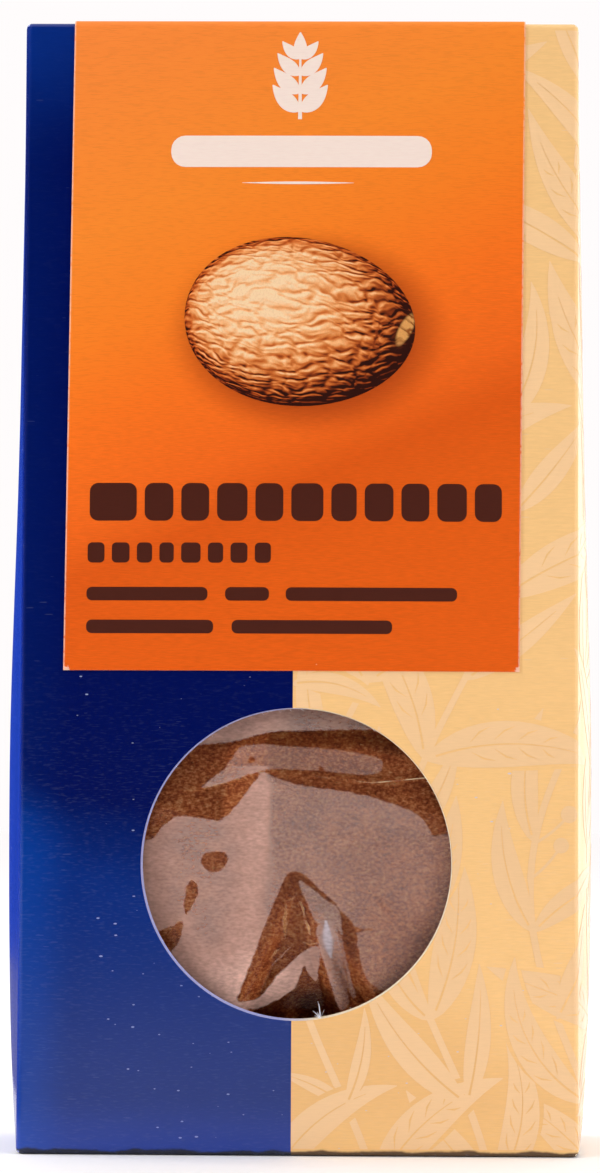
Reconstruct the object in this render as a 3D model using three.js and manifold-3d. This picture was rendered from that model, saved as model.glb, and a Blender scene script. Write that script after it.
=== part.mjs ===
// A shut folding carton of ground nutmeg. The carton is one creased sheet of board with a round
// die-cut window low on its front, a paper label runs up the front, over the lid and a little way
// down the back, and a clear film bag of ground nutmeg fills the carton and shows at the window.
//
// Millimetres. +Z is up, the front faces -Y, and the origin is the middle of the foot.

import * as THREE from "three";
import { mergeVertices } from "three/addons/utils/BufferGeometryUtils.js";
import Module from "manifold-3d";

const wasm = await Module();
wasm.setup();

// Carton: its creases, and how far the fill pushes its walls out.
const HEIGHT = 135;
const WIDTH = 66.4;
const DEPTH = 26;
const BOARD = 0.45;
const CREASE_RADIUS = 0.8; // upright creases
const FOLD_RADIUS = 0.7; // creases round the lid and the foot
const SIDE_SWELL = 2.25;
const FACE_SWELL = 1.2;
const SWELL_LOW = 0.645; // under 1 puts the fullest height below the middle
const SWELL_BLUNT = 0.6; // under 1 makes the walls fill out soon after the ends
const SETTLED_Z = 45; // the powder has sunk, so the walls slacken from here up to the next height
const SLACK_Z = 90;
const SLACK_SHARE = 0.3;

// Window, measured from the middle of the foot.
const WINDOW_RADIUS = 18.4;
const WINDOW_X = -0.2;
const WINDOW_Z = 34.3;

// Slits where the lid and the foot tuck in: they are one board deep.
const SLIT = 0.35;
const SLIT_FROM_SIDE = 0.95;
const SLIT_FROM_BACK = 0.5;

// Label: a strip of paper stuck on a little askew.
const LABEL_THICK = 0.12;
const LABEL_LIFT = 0.05; // glue under the paper
const LABEL_SLACK = 0.15; // how far the paper stands up off the lid
const LABEL_LEFT = -28.0;
const LABEL_WIDTH = 54.1;
const LABEL_FOOT_Z = 57.1;
const LABEL_BACK_DROP = 34;
const LABEL_LEAN = 0.009; // sideways run for each millimetre along the strip

// Bag: it stands clear of the board all round.
const BAG_CLEAR = 0.4;
const BAG_ROUND = 4;

const smoothstep = THREE.MathUtils.smoothstep;
const halfWidth = WIDTH / 2;
const halfDepth = DEPTH / 2;

// How full the carton is at a height: 0 at both ends and 1 a third of the way up.
function fill(z) {
  const share = THREE.MathUtils.clamp(z / HEIGHT, 0, 1);
  const slack = 1 - SLACK_SHARE * smoothstep(z, SETTLED_Z, SLACK_Z);
  return slack * Math.max(0, Math.sin(Math.PI * share ** SWELL_LOW)) ** SWELL_BLUNT;
}

// The arch of a wall across its own width, 0 at its creases.
const arch = (across, half) => Math.max(0, 1 - (across / (half - CREASE_RADIUS)) ** 2);

const faceSwell = (x, z) => FACE_SWELL * arch(x, halfWidth) * fill(z);
const sideSwell = (y, z) => SIDE_SWELL * arch(y, halfDepth) * fill(z);

// ---- The film's folds in the window, in millimetres from the window's middle -------------------

// A flat of the film that passes through a point, given by how fast it comes forward to the
// right and upwards.
const flat = (u0, v0, forward0, right, up) => (u, v) =>
  forward0 + right * (u - u0) + up * (v - v0);

// The film is drawn forward to one peak, with flats that fall away from it on all sides.
const PEAK_U = -3.9;
const PEAK_V = 10.9;
const PEAK_FORWARD = 0.25;
const KNEE_U = -9.0;
const KNEE_V = 5.4;
const lowerLeft = flat(PEAK_U, PEAK_V, PEAK_FORWARD, 0.05, 0.07);
const lowerRight = flat(PEAK_U, PEAK_V, PEAK_FORWARD, -0.005, 0.065);
const upperRight = flat(PEAK_U, PEAK_V, PEAK_FORWARD, -0.043, -0.1);
const upperLeft = flat(PEAK_U, PEAK_V, PEAK_FORWARD, 0.234, -0.1);
const farLeft = flat(KNEE_U, KNEE_V, lowerLeft(KNEE_U, KNEE_V), 0.02, -0.09);

function tent(u, v) {
  const left = Math.max(upperLeft(u, v), farLeft(u, v));
  return Math.min(lowerLeft(u, v), lowerRight(u, v), upperRight(u, v), left);
}

// A pocket opens downwards from its own point, between a left and a right leg.
const POCKET_U = -0.24;
const POCKET_V = -0.8;
const POCKET_LEFT_LEAN = -0.41; // sideways run of each leg for each millimetre down
const POCKET_RIGHT_LEAN = 0.66;
const POCKET_LEG = 2.4; // width of the slope at each leg
const POCKET_GROWTH = 0.16; // depth gained for each millimetre down
const POCKET_MOST = 1.9;

function pocket(u, v) {
  const down = POCKET_V - v;
  if (down <= 0) return 0;
  const fromLeft = u - (POCKET_U + POCKET_LEFT_LEAN * down);
  const fromRight = POCKET_U + POCKET_RIGHT_LEAN * down - u;
  const inside =
    smoothstep(fromLeft, 0, POCKET_LEG) * smoothstep(fromRight, 0, POCKET_LEG);
  return Math.min(POCKET_MOST, POCKET_GROWTH * down) * inside;
}

// Sharp ridges of the film, each from one point to another and rising along its length.
const PLEAT = { from: [0.6, -2.6], to: [5.6, -18.5], rise: 1.1, reach: 1.6 };
const LOBE = { from: [3.0, -9.0], to: [-7.0, -18.0], rise: 0.7, reach: 2.6 };
const CREST = { from: [-12.5, 14.2], to: [14.0, 12.6], rise: 0.3, reach: 2.2 };
const RIDGE_GROWN = 0.6; // the share of its length after which a ridge is at its full height

function ridge(u, v, { from, to, rise, reach }) {
  const runU = to[0] - from[0];
  const runV = to[1] - from[1];
  const length = Math.hypot(runU, runV);
  const along = ((u - from[0]) * runU + (v - from[1]) * runV) / length;
  const aside = Math.abs((u - from[0]) * runV - (v - from[1]) * runU) / length;
  const grown = smoothstep(along, 0, length * RIDGE_GROWN);
  return rise * grown * Math.max(0, 1 - aside / reach);
}

// How far the film stands in front of its resting place, over the window alone.
const FOLDS_END = 6; // beyond the window's edge the film lies flat from here on

function filmForward(x, z) {
  const u = x - WINDOW_X;
  const v = z - WINDOW_Z;
  const fromMiddle = Math.hypot(u, v);
  const shown = 1 - smoothstep(fromMiddle, WINDOW_RADIUS + 1, WINDOW_RADIUS + FOLDS_END);
  const ridges = ridge(u, v, PLEAT) + ridge(u, v, LOBE) + ridge(u, v, CREST);
  return shown * (tent(u, v) - pocket(u, v) + ridges);
}

// ---- Closed meshes -----------------------------------------------------------------------------

function geometryOf(points, faces) {
  const geometry = new THREE.BufferGeometry();
  geometry.setAttribute("position", new THREE.Float32BufferAttribute(points.flat(), 3));
  geometry.setIndex(faces.flat());
  return geometry;
}

function solidOf(geometry) {
  const bare = geometry.index ? geometry.toNonIndexed() : geometry.clone();
  for (const name of Object.keys(bare.attributes)) {
    if (name !== "position") bare.deleteAttribute(name);
  }
  const merged = mergeVertices(bare, 1e-4);
  return new wasm.Manifold(
    new wasm.Mesh({
      numProp: 3,
      vertProperties: new Float32Array(merged.attributes.position.array),
      triVerts: new Uint32Array(merged.index.array),
    }),
  );
}

function geometryFrom(solid) {
  const mesh = solid.getMesh();
  const geometry = new THREE.BufferGeometry();
  geometry.setAttribute("position", new THREE.BufferAttribute(mesh.vertProperties, 3));
  geometry.setIndex(new THREE.BufferAttribute(mesh.triVerts, 1));
  geometry.computeVertexNormals();
  return geometry;
}

// Rings of equal count, each seen anticlockwise from above, stacked upwards and capped by fans.
function loft(rings) {
  const count = rings[0].length;
  const points = rings.flat();
  const faces = [];
  for (let level = 0; level + 1 < rings.length; level++) {
    for (let i = 0; i < count; i++) {
      const a = level * count + i;
      const b = level * count + ((i + 1) % count);
      faces.push([a, b, b + count], [a, b + count, a + count]);
    }
  }
  const middle = (ring) => [0, 1, 2].map((k) => ring.reduce((s, p) => s + p[k], 0) / count);
  const foot = points.push(middle(rings[0])) - 1;
  const head = points.push(middle(rings.at(-1))) - 1;
  const last = (rings.length - 1) * count;
  for (let i = 0; i < count; i++) {
    const j = (i + 1) % count;
    faces.push([foot, j, i], [head, last + i, last + j]);
  }
  return geometryOf(points, faces);
}

const spread = (steps) => Array.from({ length: steps + 1 }, (_, i) => (2 * i) / steps - 1);

// The carton's outline at a height, taken in by inset, with its corners rounded. Each list holds
// places across a wall, from -1 to 1, and push moves the front wall's points forward.
const CORNER_STEPS = 3;

function outline(z, inset, round, { front, side, back }, push = () => 0) {
  const halfX = halfWidth - inset;
  const halfY = halfDepth - inset;
  const ring = [];
  const corner = (signX, signY, start) => {
    for (let i = 1; i < CORNER_STEPS; i++) {
      const angle = start + ((Math.PI / 2) * i) / CORNER_STEPS;
      const x = signX * (halfX - round) + round * Math.cos(angle);
      ring.push([x, signY * (halfY - round) + round * Math.sin(angle), z]);
    }
  };
  for (const s of front) {
    const x = s * (halfX - round);
    ring.push([x, -(halfY + faceSwell(x, z)) - push(x, z), z]);
  }
  corner(1, -1, -Math.PI / 2);
  for (const s of side) {
    const y = s * (halfY - round);
    ring.push([halfX + sideSwell(y, z), y, z]);
  }
  corner(1, 1, 0);
  for (const s of back) {
    const x = -s * (halfX - round);
    ring.push([x, halfY + faceSwell(x, z), z]);
  }
  corner(-1, 1, Math.PI / 2);
  for (const s of side) {
    const y = -s * (halfY - round);
    ring.push([-halfX - sideSwell(y, z), y, z]);
  }
  corner(-1, -1, Math.PI);
  return ring;
}

// Heights between the folds, closer together near the ends, where the walls curve most.
const WALL_HEIGHTS = [2, 5, 11, 20, 32, 45, LABEL_FOOT_Z, 70, 83, 96, 108, 118, 125, 130, 133];
const FOLD_STEPS = 3;

// The heights and insets of a fold, from its flat face to where the wall starts.
const foldSteps = Array.from({ length: FOLD_STEPS + 1 }, (_, i) => {
  const angle = ((Math.PI / 2) * i) / FOLD_STEPS;
  return {
    angle,
    inset: FOLD_RADIUS * (1 - Math.sin(angle)),
    rise: FOLD_RADIUS * (1 - Math.cos(angle)),
  };
});

// ---- Carton ------------------------------------------------------------------------------------

const WALL_STEPS = { front: spread(12), side: spread(6), back: spread(12) };

function cartonOutside() {
  const ringAt = (z, inset) => outline(z, inset, CREASE_RADIUS - inset, WALL_STEPS);
  const foot = foldSteps.map(({ inset, rise }) => ringAt(rise, inset));
  const wall = WALL_HEIGHTS.map((z) => ringAt(z, 0));
  const head = foldSteps.map(({ inset, rise }) => ringAt(HEIGHT - rise, inset)).reverse();
  return loft([...foot, ...wall, ...head]);
}

function cartonInside() {
  const ringAt = (z) => outline(z, BOARD, CREASE_RADIUS - BOARD, WALL_STEPS);
  return loft([2 * BOARD, ...WALL_HEIGHTS, HEIGHT - 2 * BOARD].map(ringAt));
}

function box(lowX, highX, lowY, highY, lowZ, highZ) {
  const geometry = new THREE.BoxGeometry(highX - lowX, highY - lowY, highZ - lowZ);
  geometry.translate((lowX + highX) / 2, (lowY + highY) / 2, (lowZ + highZ) / 2);
  return geometry;
}

// The slits beside and behind a tucked-in end, which is hinged at the front.
function tuckSlits(lowZ, highZ) {
  const sideX = halfWidth - SLIT_FROM_SIDE;
  const frontY = -halfDepth + 2 * FOLD_RADIUS;
  const backY = halfDepth - SLIT_FROM_BACK;
  return [
    box(-sideX, -sideX + SLIT, frontY, backY, lowZ, highZ),
    box(sideX - SLIT, sideX, frontY, backY, lowZ, highZ),
    box(-sideX, sideX, backY - SLIT, backY, lowZ, highZ),
  ];
}

const WINDOW_SIDES = 72;

function cartonGeometry() {
  const punch = new THREE.CylinderGeometry(
    WINDOW_RADIUS, WINDOW_RADIUS, DEPTH / 2, WINDOW_SIDES);
  punch.translate(WINDOW_X, -halfDepth, WINDOW_Z);
  const cuts = [
    cartonInside(),
    punch,
    ...tuckSlits(HEIGHT - BOARD, HEIGHT + 1),
    ...tuckSlits(-1, BOARD),
  ];
  return geometryFrom(
    cuts.reduce((solid, cut) => solid.subtract(solidOf(cut)), solidOf(cartonOutside())),
  );
}

// ---- Label -------------------------------------------------------------------------------------

// The label's route: up the front, round the front fold, over the lid, and down the back. Each
// station gives the place and the outward direction in Y and Z for a point at some x.
function labelStations() {
  const front = WALL_HEIGHTS.filter((z) => z >= LABEL_FOOT_Z);
  const stations = front.map((z) => ({ side: -1, z, inset: 0, angle: Math.PI / 2 }));
  for (const { angle, inset, rise } of [...foldSteps].reverse()) {
    stations.push({ side: -1, z: HEIGHT - rise, inset, angle });
  }
  for (const { angle, inset, rise } of foldSteps) {
    stations.push({ side: 1, z: HEIGHT - rise, inset, angle });
  }
  const drop = WALL_HEIGHTS.filter((z) => z > HEIGHT - LABEL_BACK_DROP).reverse();
  for (const z of [...drop, HEIGHT - LABEL_BACK_DROP]) {
    stations.push({ side: 1, z, inset: 0, angle: Math.PI / 2 });
  }
  return stations;
}

const LABEL_COLUMNS = 10;

function labelGeometry() {
  const place = (x, { side, z, inset, angle }, lift) => {
    const y = side * (halfDepth + faceSwell(x, z) - inset + lift * Math.sin(angle));
    const rise = lift + LABEL_SLACK * Math.cos(angle);
    return [x, y, z + rise * Math.cos(angle)];
  };
  const stations = labelStations();
  const rows = [];
  let run = 0;
  let before = place(0, stations[0], 0);
  for (const station of stations) {
    const here = place(0, station, 0);
    run += Math.hypot(here[1] - before[1], here[2] - before[2]);
    before = here;
    rows.push({ station, start: LABEL_LEFT + LABEL_LEAN * run });
  }
  const columns = LABEL_COLUMNS + 1;
  const sheet = (lift) =>
    rows.flatMap(({ station, start }) =>
      Array.from({ length: columns }, (_, i) =>
        place(start + (LABEL_WIDTH * i) / LABEL_COLUMNS, station, lift),
      ),
    );
  const points = [...sheet(LABEL_LIFT + LABEL_THICK), ...sheet(LABEL_LIFT)];
  const under = rows.length * columns;
  const faces = [];
  const quad = (a, b, c, d) => faces.push([a, b, c], [a, c, d]);
  for (let r = 0; r + 1 < rows.length; r++) {
    for (let i = 0; i < LABEL_COLUMNS; i++) {
      const a = r * columns + i;
      quad(a, a + 1, a + 1 + columns, a + columns);
      quad(under + a, under + a + columns, under + a + 1 + columns, under + a + 1);
    }
    const left = r * columns;
    const right = left + LABEL_COLUMNS;
    quad(left, left + columns, under + left + columns, under + left);
    quad(right, under + right, under + right + columns, right + columns);
  }
  const top = (rows.length - 1) * columns;
  for (let i = 0; i < LABEL_COLUMNS; i++) {
    quad(i, under + i, under + i + 1, i + 1);
    quad(top + i, top + i + 1, under + top + i + 1, under + top + i);
  }
  return geometryOf(points, faces);
}

// ---- Bag ---------------------------------------------------------------------------------------

const FOLD_SPACING = 1.4; // between points of the film over the window
const BAG_FINE = 20; // half the side of the square that holds those points
const BAG_EDGE_STEP = 0.87; // one more point between that square and the bag's sides
const BAG_LOW_Z = 10;
const BAG_UPPER_Z = [66, 80, 94, 108, 120];
const BAG_ENDS = [0, 0.35, 0.7, 1]; // shares of the quarter turn round the bag's ends
const BAG_CORNER_KEPT = 0.1; // share of the corner's radius that is left at the very ends

function bagGeometry() {
  const fineSteps = spread(Math.round((2 * BAG_FINE) / FOLD_SPACING));
  const fine = (middle) => fineSteps.map((share) => middle + BAG_FINE * share);
  const inset = BOARD + BAG_CLEAR;
  const halfRun = halfWidth - inset - BAG_ROUND;
  const window = fine(WINDOW_X).map((x) => x / halfRun);
  const steps = {
    front: [-1, -BAG_EDGE_STEP, ...window, BAG_EDGE_STEP, 1],
    side: spread(2),
    back: spread(6),
  };
  const low = 2 * BOARD + BAG_CLEAR;
  const high = HEIGHT - low;
  const ends = BAG_ENDS.map((share) => {
    const angle = (share * Math.PI) / 2;
    return {
      extra: BAG_ROUND * (1 - Math.sin(angle)),
      rise: BAG_ROUND * (1 - Math.cos(angle)),
    };
  });
  const ringAt = (z, extra) => {
    const round = BAG_ROUND - (1 - BAG_CORNER_KEPT) * extra;
    return outline(z, inset + extra, round, steps, filmForward);
  };
  return loft([
    ...ends.map(({ extra, rise }) => ringAt(low + rise, extra)),
    ...[BAG_LOW_Z, ...fine(WINDOW_Z), ...BAG_UPPER_Z].map((z) => ringAt(z, 0)),
    ...ends.map(({ extra, rise }) => ringAt(high - rise, extra)).reverse(),
  ]);
}

// ---- The pack ----------------------------------------------------------------------------------

const materials = {
  board: new THREE.MeshStandardMaterial({ color: "#101f63", roughness: 0.35, metalness: 0 }),
  paper: new THREE.MeshStandardMaterial({ color: "#f0702a", roughness: 0.6, metalness: 0 }),
  nutmeg: new THREE.MeshStandardMaterial({ color: "#7a4a30", roughness: 0.8, metalness: 0 }),
};

function piece(name, geometry, material) {
  const mesh = new THREE.Mesh(geometry, material);
  mesh.name = name;
  return mesh;
}

const pack = new THREE.Group();
pack.name = "nutmeg_carton";
pack.add(piece("carton", cartonGeometry(), materials.board));
pack.add(piece("label", labelGeometry(), materials.paper));
pack.add(piece("bag", bagGeometry(), materials.nutmeg));

export default pack;
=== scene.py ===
"""Looks of a shut folding carton of ground nutmeg: printed board, paper label, film bag and powder.

Every piece is modelled in millimetres, because Blender's cutting tools keep a fixed tolerance, and
finish_piece brings it to metres. +Z is up, the front faces -Y and the origin is the foot's middle.
"""
import math
import random
from functools import partial

import bpy
import numpy as np
from mathutils import Matrix, Vector, geometry, noise


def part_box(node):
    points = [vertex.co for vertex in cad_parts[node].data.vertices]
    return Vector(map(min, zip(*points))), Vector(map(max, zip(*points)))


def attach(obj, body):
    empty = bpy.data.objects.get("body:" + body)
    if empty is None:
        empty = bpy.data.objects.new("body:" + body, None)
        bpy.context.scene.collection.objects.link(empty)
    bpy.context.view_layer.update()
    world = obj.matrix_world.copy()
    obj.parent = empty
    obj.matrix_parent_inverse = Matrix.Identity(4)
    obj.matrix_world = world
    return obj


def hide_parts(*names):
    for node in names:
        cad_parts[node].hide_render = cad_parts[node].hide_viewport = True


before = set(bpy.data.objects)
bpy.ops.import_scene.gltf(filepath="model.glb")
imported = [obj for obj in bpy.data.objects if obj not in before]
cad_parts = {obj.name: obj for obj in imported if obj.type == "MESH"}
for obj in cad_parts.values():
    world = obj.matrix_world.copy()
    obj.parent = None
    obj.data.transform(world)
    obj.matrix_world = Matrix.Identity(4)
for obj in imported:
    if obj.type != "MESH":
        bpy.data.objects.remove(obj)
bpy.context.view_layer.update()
random.seed(7)

MM = 0.001  # metres in a millimetre

# ---- The carton's form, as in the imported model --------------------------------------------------

carton_low, carton_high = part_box("carton")
SIDE_SWELL = 2.25
FACE_SWELL = 1.2
HEIGHT = carton_high.z / MM
HALF_WIDTH = carton_high.x / MM - SIDE_SWELL
HALF_DEPTH = carton_high.y / MM - FACE_SWELL
BOARD = 0.45
CREASE_RADIUS = 0.8  # upright creases
FOLD_RADIUS = 0.7  # creases round the lid and the foot
SWELL_LOW = 0.645  # under 1 puts the fullest height below the middle
SWELL_BLUNT = 0.6  # under 1 makes the walls fill out soon after the ends
SETTLED_Z = 45  # the powder has sunk, so the walls slacken from here up to the next height
SLACK_Z = 90
SLACK_SHARE = 0.3

WINDOW_RADIUS = 18.4
WINDOW_X = -0.2
WINDOW_Z = 34.3

SLIT = 0.35
SLIT_FROM_SIDE = 0.95
SLIT_FROM_BACK = 0.5

LABEL_THICK = 0.12
LABEL_LIFT = 0.05  # glue under the paper
LABEL_SLACK = 0.15  # how far the paper stands up off the lid
LABEL_LEFT = -28.0
LABEL_WIDTH = 54.1
LABEL_FOOT_Z = 57.1
LABEL_BACK_DROP = 34
LABEL_LEAN = 0.009  # sideways run for each millimetre along the strip

BAG_INSET = BOARD + 0.4
BAG_ROUND = 4
BAG_LOW_Z = 2 * BOARD + 0.4
POWDER_GAP = 0.26  # from the film to the powder's surface

PRINT_SPLIT_X = -0.7  # navy is printed to the left of this, cream to the right
INK_LIFT = 0.012  # an ink's skin floats this far off what carries it

# The pictured nut on the label.
NUT_MIDDLE = (-0.1, 98.7)
NUT_RADII = (13.8, 10.1)
NUT_TILT = math.radians(-6)  # the right end lowered
NUT_BLUNT = 0.06  # how much blunter its left end is
NUT_SHADOW = (0.9, 97.6)  # the middle of its printed shadow


def smoothstep(value, low, high):
    share = min(1.0, max(0.0, (value - low) / (high - low)))
    return share * share * (3 - 2 * share)


def fill(z):
    """How full the carton is at a height: 0 at both ends and 1 a third of the way up."""
    share = min(1.0, max(0.0, z / HEIGHT))
    slack = 1 - SLACK_SHARE * smoothstep(z, SETTLED_Z, SLACK_Z)
    return slack * max(0.0, math.sin(math.pi * share**SWELL_LOW)) ** SWELL_BLUNT


def arch(across, half):
    return max(0.0, 1 - (across / (half - CREASE_RADIUS)) ** 2)


def face_swell(x, z):
    return FACE_SWELL * arch(x, HALF_WIDTH) * fill(z)


def side_swell(y, z):
    return SIDE_SWELL * arch(y, HALF_DEPTH) * fill(z)


def from_window(x, z):
    """A place of the front, measured from the window's middle."""
    return x - WINDOW_X, z - WINDOW_Z


# ---- Making and finishing pieces ----------------------------------------------------------------


def select_only(*pieces):
    bpy.ops.object.select_all(action="DESELECT")
    for piece in pieces:
        piece.select_set(True)
    bpy.context.view_layer.objects.active = pieces[0]


def start_piece(name, primitive, scale=(1, 1, 1), **settings):
    """A primitive with its place and size in its mesh."""
    bpy.ops.object.select_all(action="DESELECT")
    primitive(**settings)
    piece = bpy.context.object
    piece.name = name
    piece.scale = scale
    bpy.ops.object.transform_apply(location=True, rotation=True, scale=True)
    return piece


def link_piece(name, mesh):
    piece = bpy.data.objects.new(name, mesh)
    bpy.context.scene.collection.objects.link(piece)
    return piece


def work(piece, kind, test, tool, **settings):
    """Selects the edges or the faces that pass a test, and works on them in edit mode."""
    mesh = piece.data
    for group in (mesh.vertices, mesh.edges, mesh.polygons):
        group.foreach_set("select", [False] * len(group))
    for item in mesh.edges if kind == "EDGE" else mesh.polygons:
        item.select = test(item)
    bpy.context.tool_settings.mesh_select_mode = (False, kind == "EDGE", kind == "FACE")
    bpy.ops.object.mode_set(mode="EDIT")
    tool(**settings)
    bpy.ops.object.mode_set(mode="OBJECT")


def everywhere(item):
    return True


def slice_at(piece, axis, places, test=everywhere):
    """Cuts the faces that pass a test at each place along an axis."""
    normal = Vector([float(axis == i) for i in range(3)])
    for place in places:
        cut = {"plane_co": normal * place, "plane_no": normal, "threshold": 1e-4}
        work(piece, "FACE", test, bpy.ops.mesh.bisect, **cut)


def apply_modifier(piece, kind, **settings):
    select_only(piece)
    modifier = piece.modifiers.new(kind.lower(), kind)
    for name, value in settings.items():
        setattr(modifier, name, value)
    bpy.ops.object.modifier_apply(modifier=modifier.name)


def cut_away(piece, cutter):
    apply_modifier(piece, "BOOLEAN", operation="DIFFERENCE", solver="EXACT", object=cutter)
    bpy.data.objects.remove(cutter)


def finish_piece(piece, materials, smooth=30, replaced=()):
    """Brings a piece to metres and gives it its finish and its place in the frame."""
    piece.data.transform(Matrix.Scale(MM, 4))
    if not piece.data.materials:
        for material in materials:
            piece.data.materials.append(material)
    select_only(piece)
    bpy.ops.object.shade_smooth_by_angle(angle=math.radians(smooth))
    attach(piece, "root")
    for name in replaced:
        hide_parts(name)
    return piece


def write_attributes(piece, **attributes):
    for name, values in attributes.items():
        attribute = piece.data.attributes.new(name, "FLOAT", "POINT")
        attribute.data.foreach_set("value", np.asarray(values, np.float32))


def steps(low, high, pitch):
    """Even places from low to high, both left out, about a pitch apart."""
    count = max(1, round((high - low) / pitch))
    return [low + (high - low) * i / count for i in range(1, count)]


# ---- Materials ----------------------------------------------------------------------------------

# What the word after a kind's dot sets.
MODES = {
    "Math": "operation",
    "VectorMath": "operation",
    "Mix": "data_type",
    "MapRange": "interpolation_type",
}
MIX = "Mix.RGBA"  # mixes two colours
RISE = "MapRange.SMOOTHSTEP"  # rises from 0 at one value to 1, or to its last number, at another


def colour(code):
    """A linear colour from an sRGB hex code."""
    parts = [int(code[i : i + 2], 16) / 255 for i in (1, 3, 5)]
    return [c / 12.92 if c <= 0.04045 else ((c + 0.055) / 1.055) ** 2.4 for c in parts] + [1.0]


def add_node(tree, kind, *values, out=None, stops=(), **settings):
    """Adds a node and gives its first output, or the one asked for. Values are numbers, hex codes
    or outputs, for the sockets that the node shows, in order: None leaves one as it is. A setting
    with a capital letter is a socket too, and another is a property. Stops fill a ramp."""
    kind, _, mode = kind.partition(".")
    made = tree.nodes.new("ShaderNode" + kind)
    if mode:
        setattr(made, MODES[kind], mode)
    for name in [name for name in settings if name[0].islower()]:
        setattr(made, name, settings.pop(name))
    for i, (place, code) in enumerate(stops):
        elements = made.color_ramp.elements
        stop = elements[i] if i < 2 else elements.new(place)
        stop.position = place
        stop.color = colour(code)
    given = list(zip([socket for socket in made.inputs if socket.enabled], values))
    given += [(made.inputs[name.replace("_", " ")], value) for name, value in settings.items()]
    for socket, value in given:
        if isinstance(value, str):
            socket.default_value = colour(value)[: len(socket.default_value)]
        elif isinstance(value, bpy.types.NodeSocket):
            tree.links.new(value, socket)
        elif value is not None:
            socket.default_value = value
    shown = [socket for socket in made.outputs if socket.enabled]
    return made.outputs[out] if out else shown[0] if shown else None


def new_material(name):
    """A material, a function that adds a node to it, and the place on the object."""
    material = bpy.data.materials.new(name)
    material.use_nodes = True
    material.node_tree.nodes.clear()
    add = partial(add_node, material.node_tree)
    return material, add, add("TexCoord", out="Object")


def coat(add, base, roughness, ior, **sockets):
    """Gives a material its surface."""
    shader = add("BsdfPrincipled", Base_Color=base, Roughness=roughness, IOR=ior, **sockets)
    add("OutputMaterial", shader)


def level_noise(add, place, across, up, detail, **sockets):
    """Noise drawn out level. Across and up are its features to the metre."""
    run = add("Mapping", place, Scale=(across, across, up))
    return add("TexNoise", run, 1.0, detail, **sockets)


def vary(add, base, pattern, low, high):
    """A colour made darker and lighter by a noise."""
    shade = add("MapRange", pattern, 0.3, 0.7, low, high)
    return add("VectorMath.SCALE", base, shade)


def spots(add, place, scale, start, end, most):
    """Round spots with sizes drawn from their cells' colours, and those colours."""
    cells = add("TexVoronoi", place, scale)
    drawn = cells.node.outputs["Color"]
    return add("Math.LESS_THAN", cells, add("MapRange", drawn, start, end, 0.0, most)), drawn


def board_print(add, place):
    """The two printed fields: navy on the left, brighter round the side, and cream on the right.
    Low down the navy is painted lighter, most near the left side, as a reflection of the pale floor,
    and the cream is darker. Both are painted paler at the very foot as light from the floor, and the
    fold under the foot is painted dark as the shade under the carton."""
    x = add("SeparateXYZ", place, out="X")
    z = add("SeparateXYZ", place, out="Z")
    cloud = add("TexNoise", place, 60.0, 3.0)
    uneven = add("Math.MULTIPLY_ADD", cloud, 0.012, z)
    from_side = add("Math.ADD", x, HALF_WIDTH * MM)
    slant = add("Math.MULTIPLY_ADD", from_side, 0.5, uneven)
    # Low down the navy is painted lighter as a reflection of the pale floor, and the cream is darker.
    lower = add(RISE, slant, 0.055, 0.042)
    # At the very foot both fields are painted paler, as light from the pale floor.
    foot = add(RISE, z, 0.0075, 0.0, 0.0, 0.8)
    head = add(RISE, uneven, 0.124, 0.141)
    near_side = add(RISE, x, -0.026, -0.0325)
    navy = add(MIX, lower, "#000D54", "#00297A")
    navy = add(MIX, foot, navy, "#16399C")
    navy = add(MIX, head, navy, "#07297C")
    # Painted reflection of the floor: low down the navy is lighter still near the left side.
    glow = add("Math.MULTIPLY", add("MapRange", lower, To_Min=0.05, To_Max=0.4), near_side)
    navy = add(MIX, glow, navy, "#0048B0")
    on_side = add(RISE, x, -0.0326, -0.0333)
    side_blue = add(MIX, add(RISE, z, 0.06, 0.11), "#022080", "#010F56")
    navy = add(MIX, on_side, navy, side_blue)
    cream = add(MIX, lower, "#FFCE8B", "#F3BF7B")
    cream = add(MIX, foot, cream, "#FBC983")
    cream_side = add("Math.GREATER_THAN", x, PRINT_SPLIT_X * MM)
    fields = add(MIX, cream_side, navy, cream)
    # The fold under the foot is painted dark as the shade in the gap under the carton, its edge ragged.
    foot_shadow_noise = add("TexNoise", place, 240.0, 4.0)
    ragged_foot_height = add("Math.MULTIPLY_ADD", foot_shadow_noise, 0.0013, z)
    foot_shadow_share = add(RISE, ragged_foot_height, 0.00145, 0.0011, 0.0, 0.92)
    foot_shadow_tone = add(MIX, cream_side, "#05060E", "#3C2410")
    return add(MIX, foot_shadow_share, fields, foot_shadow_tone), cream_side


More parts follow.
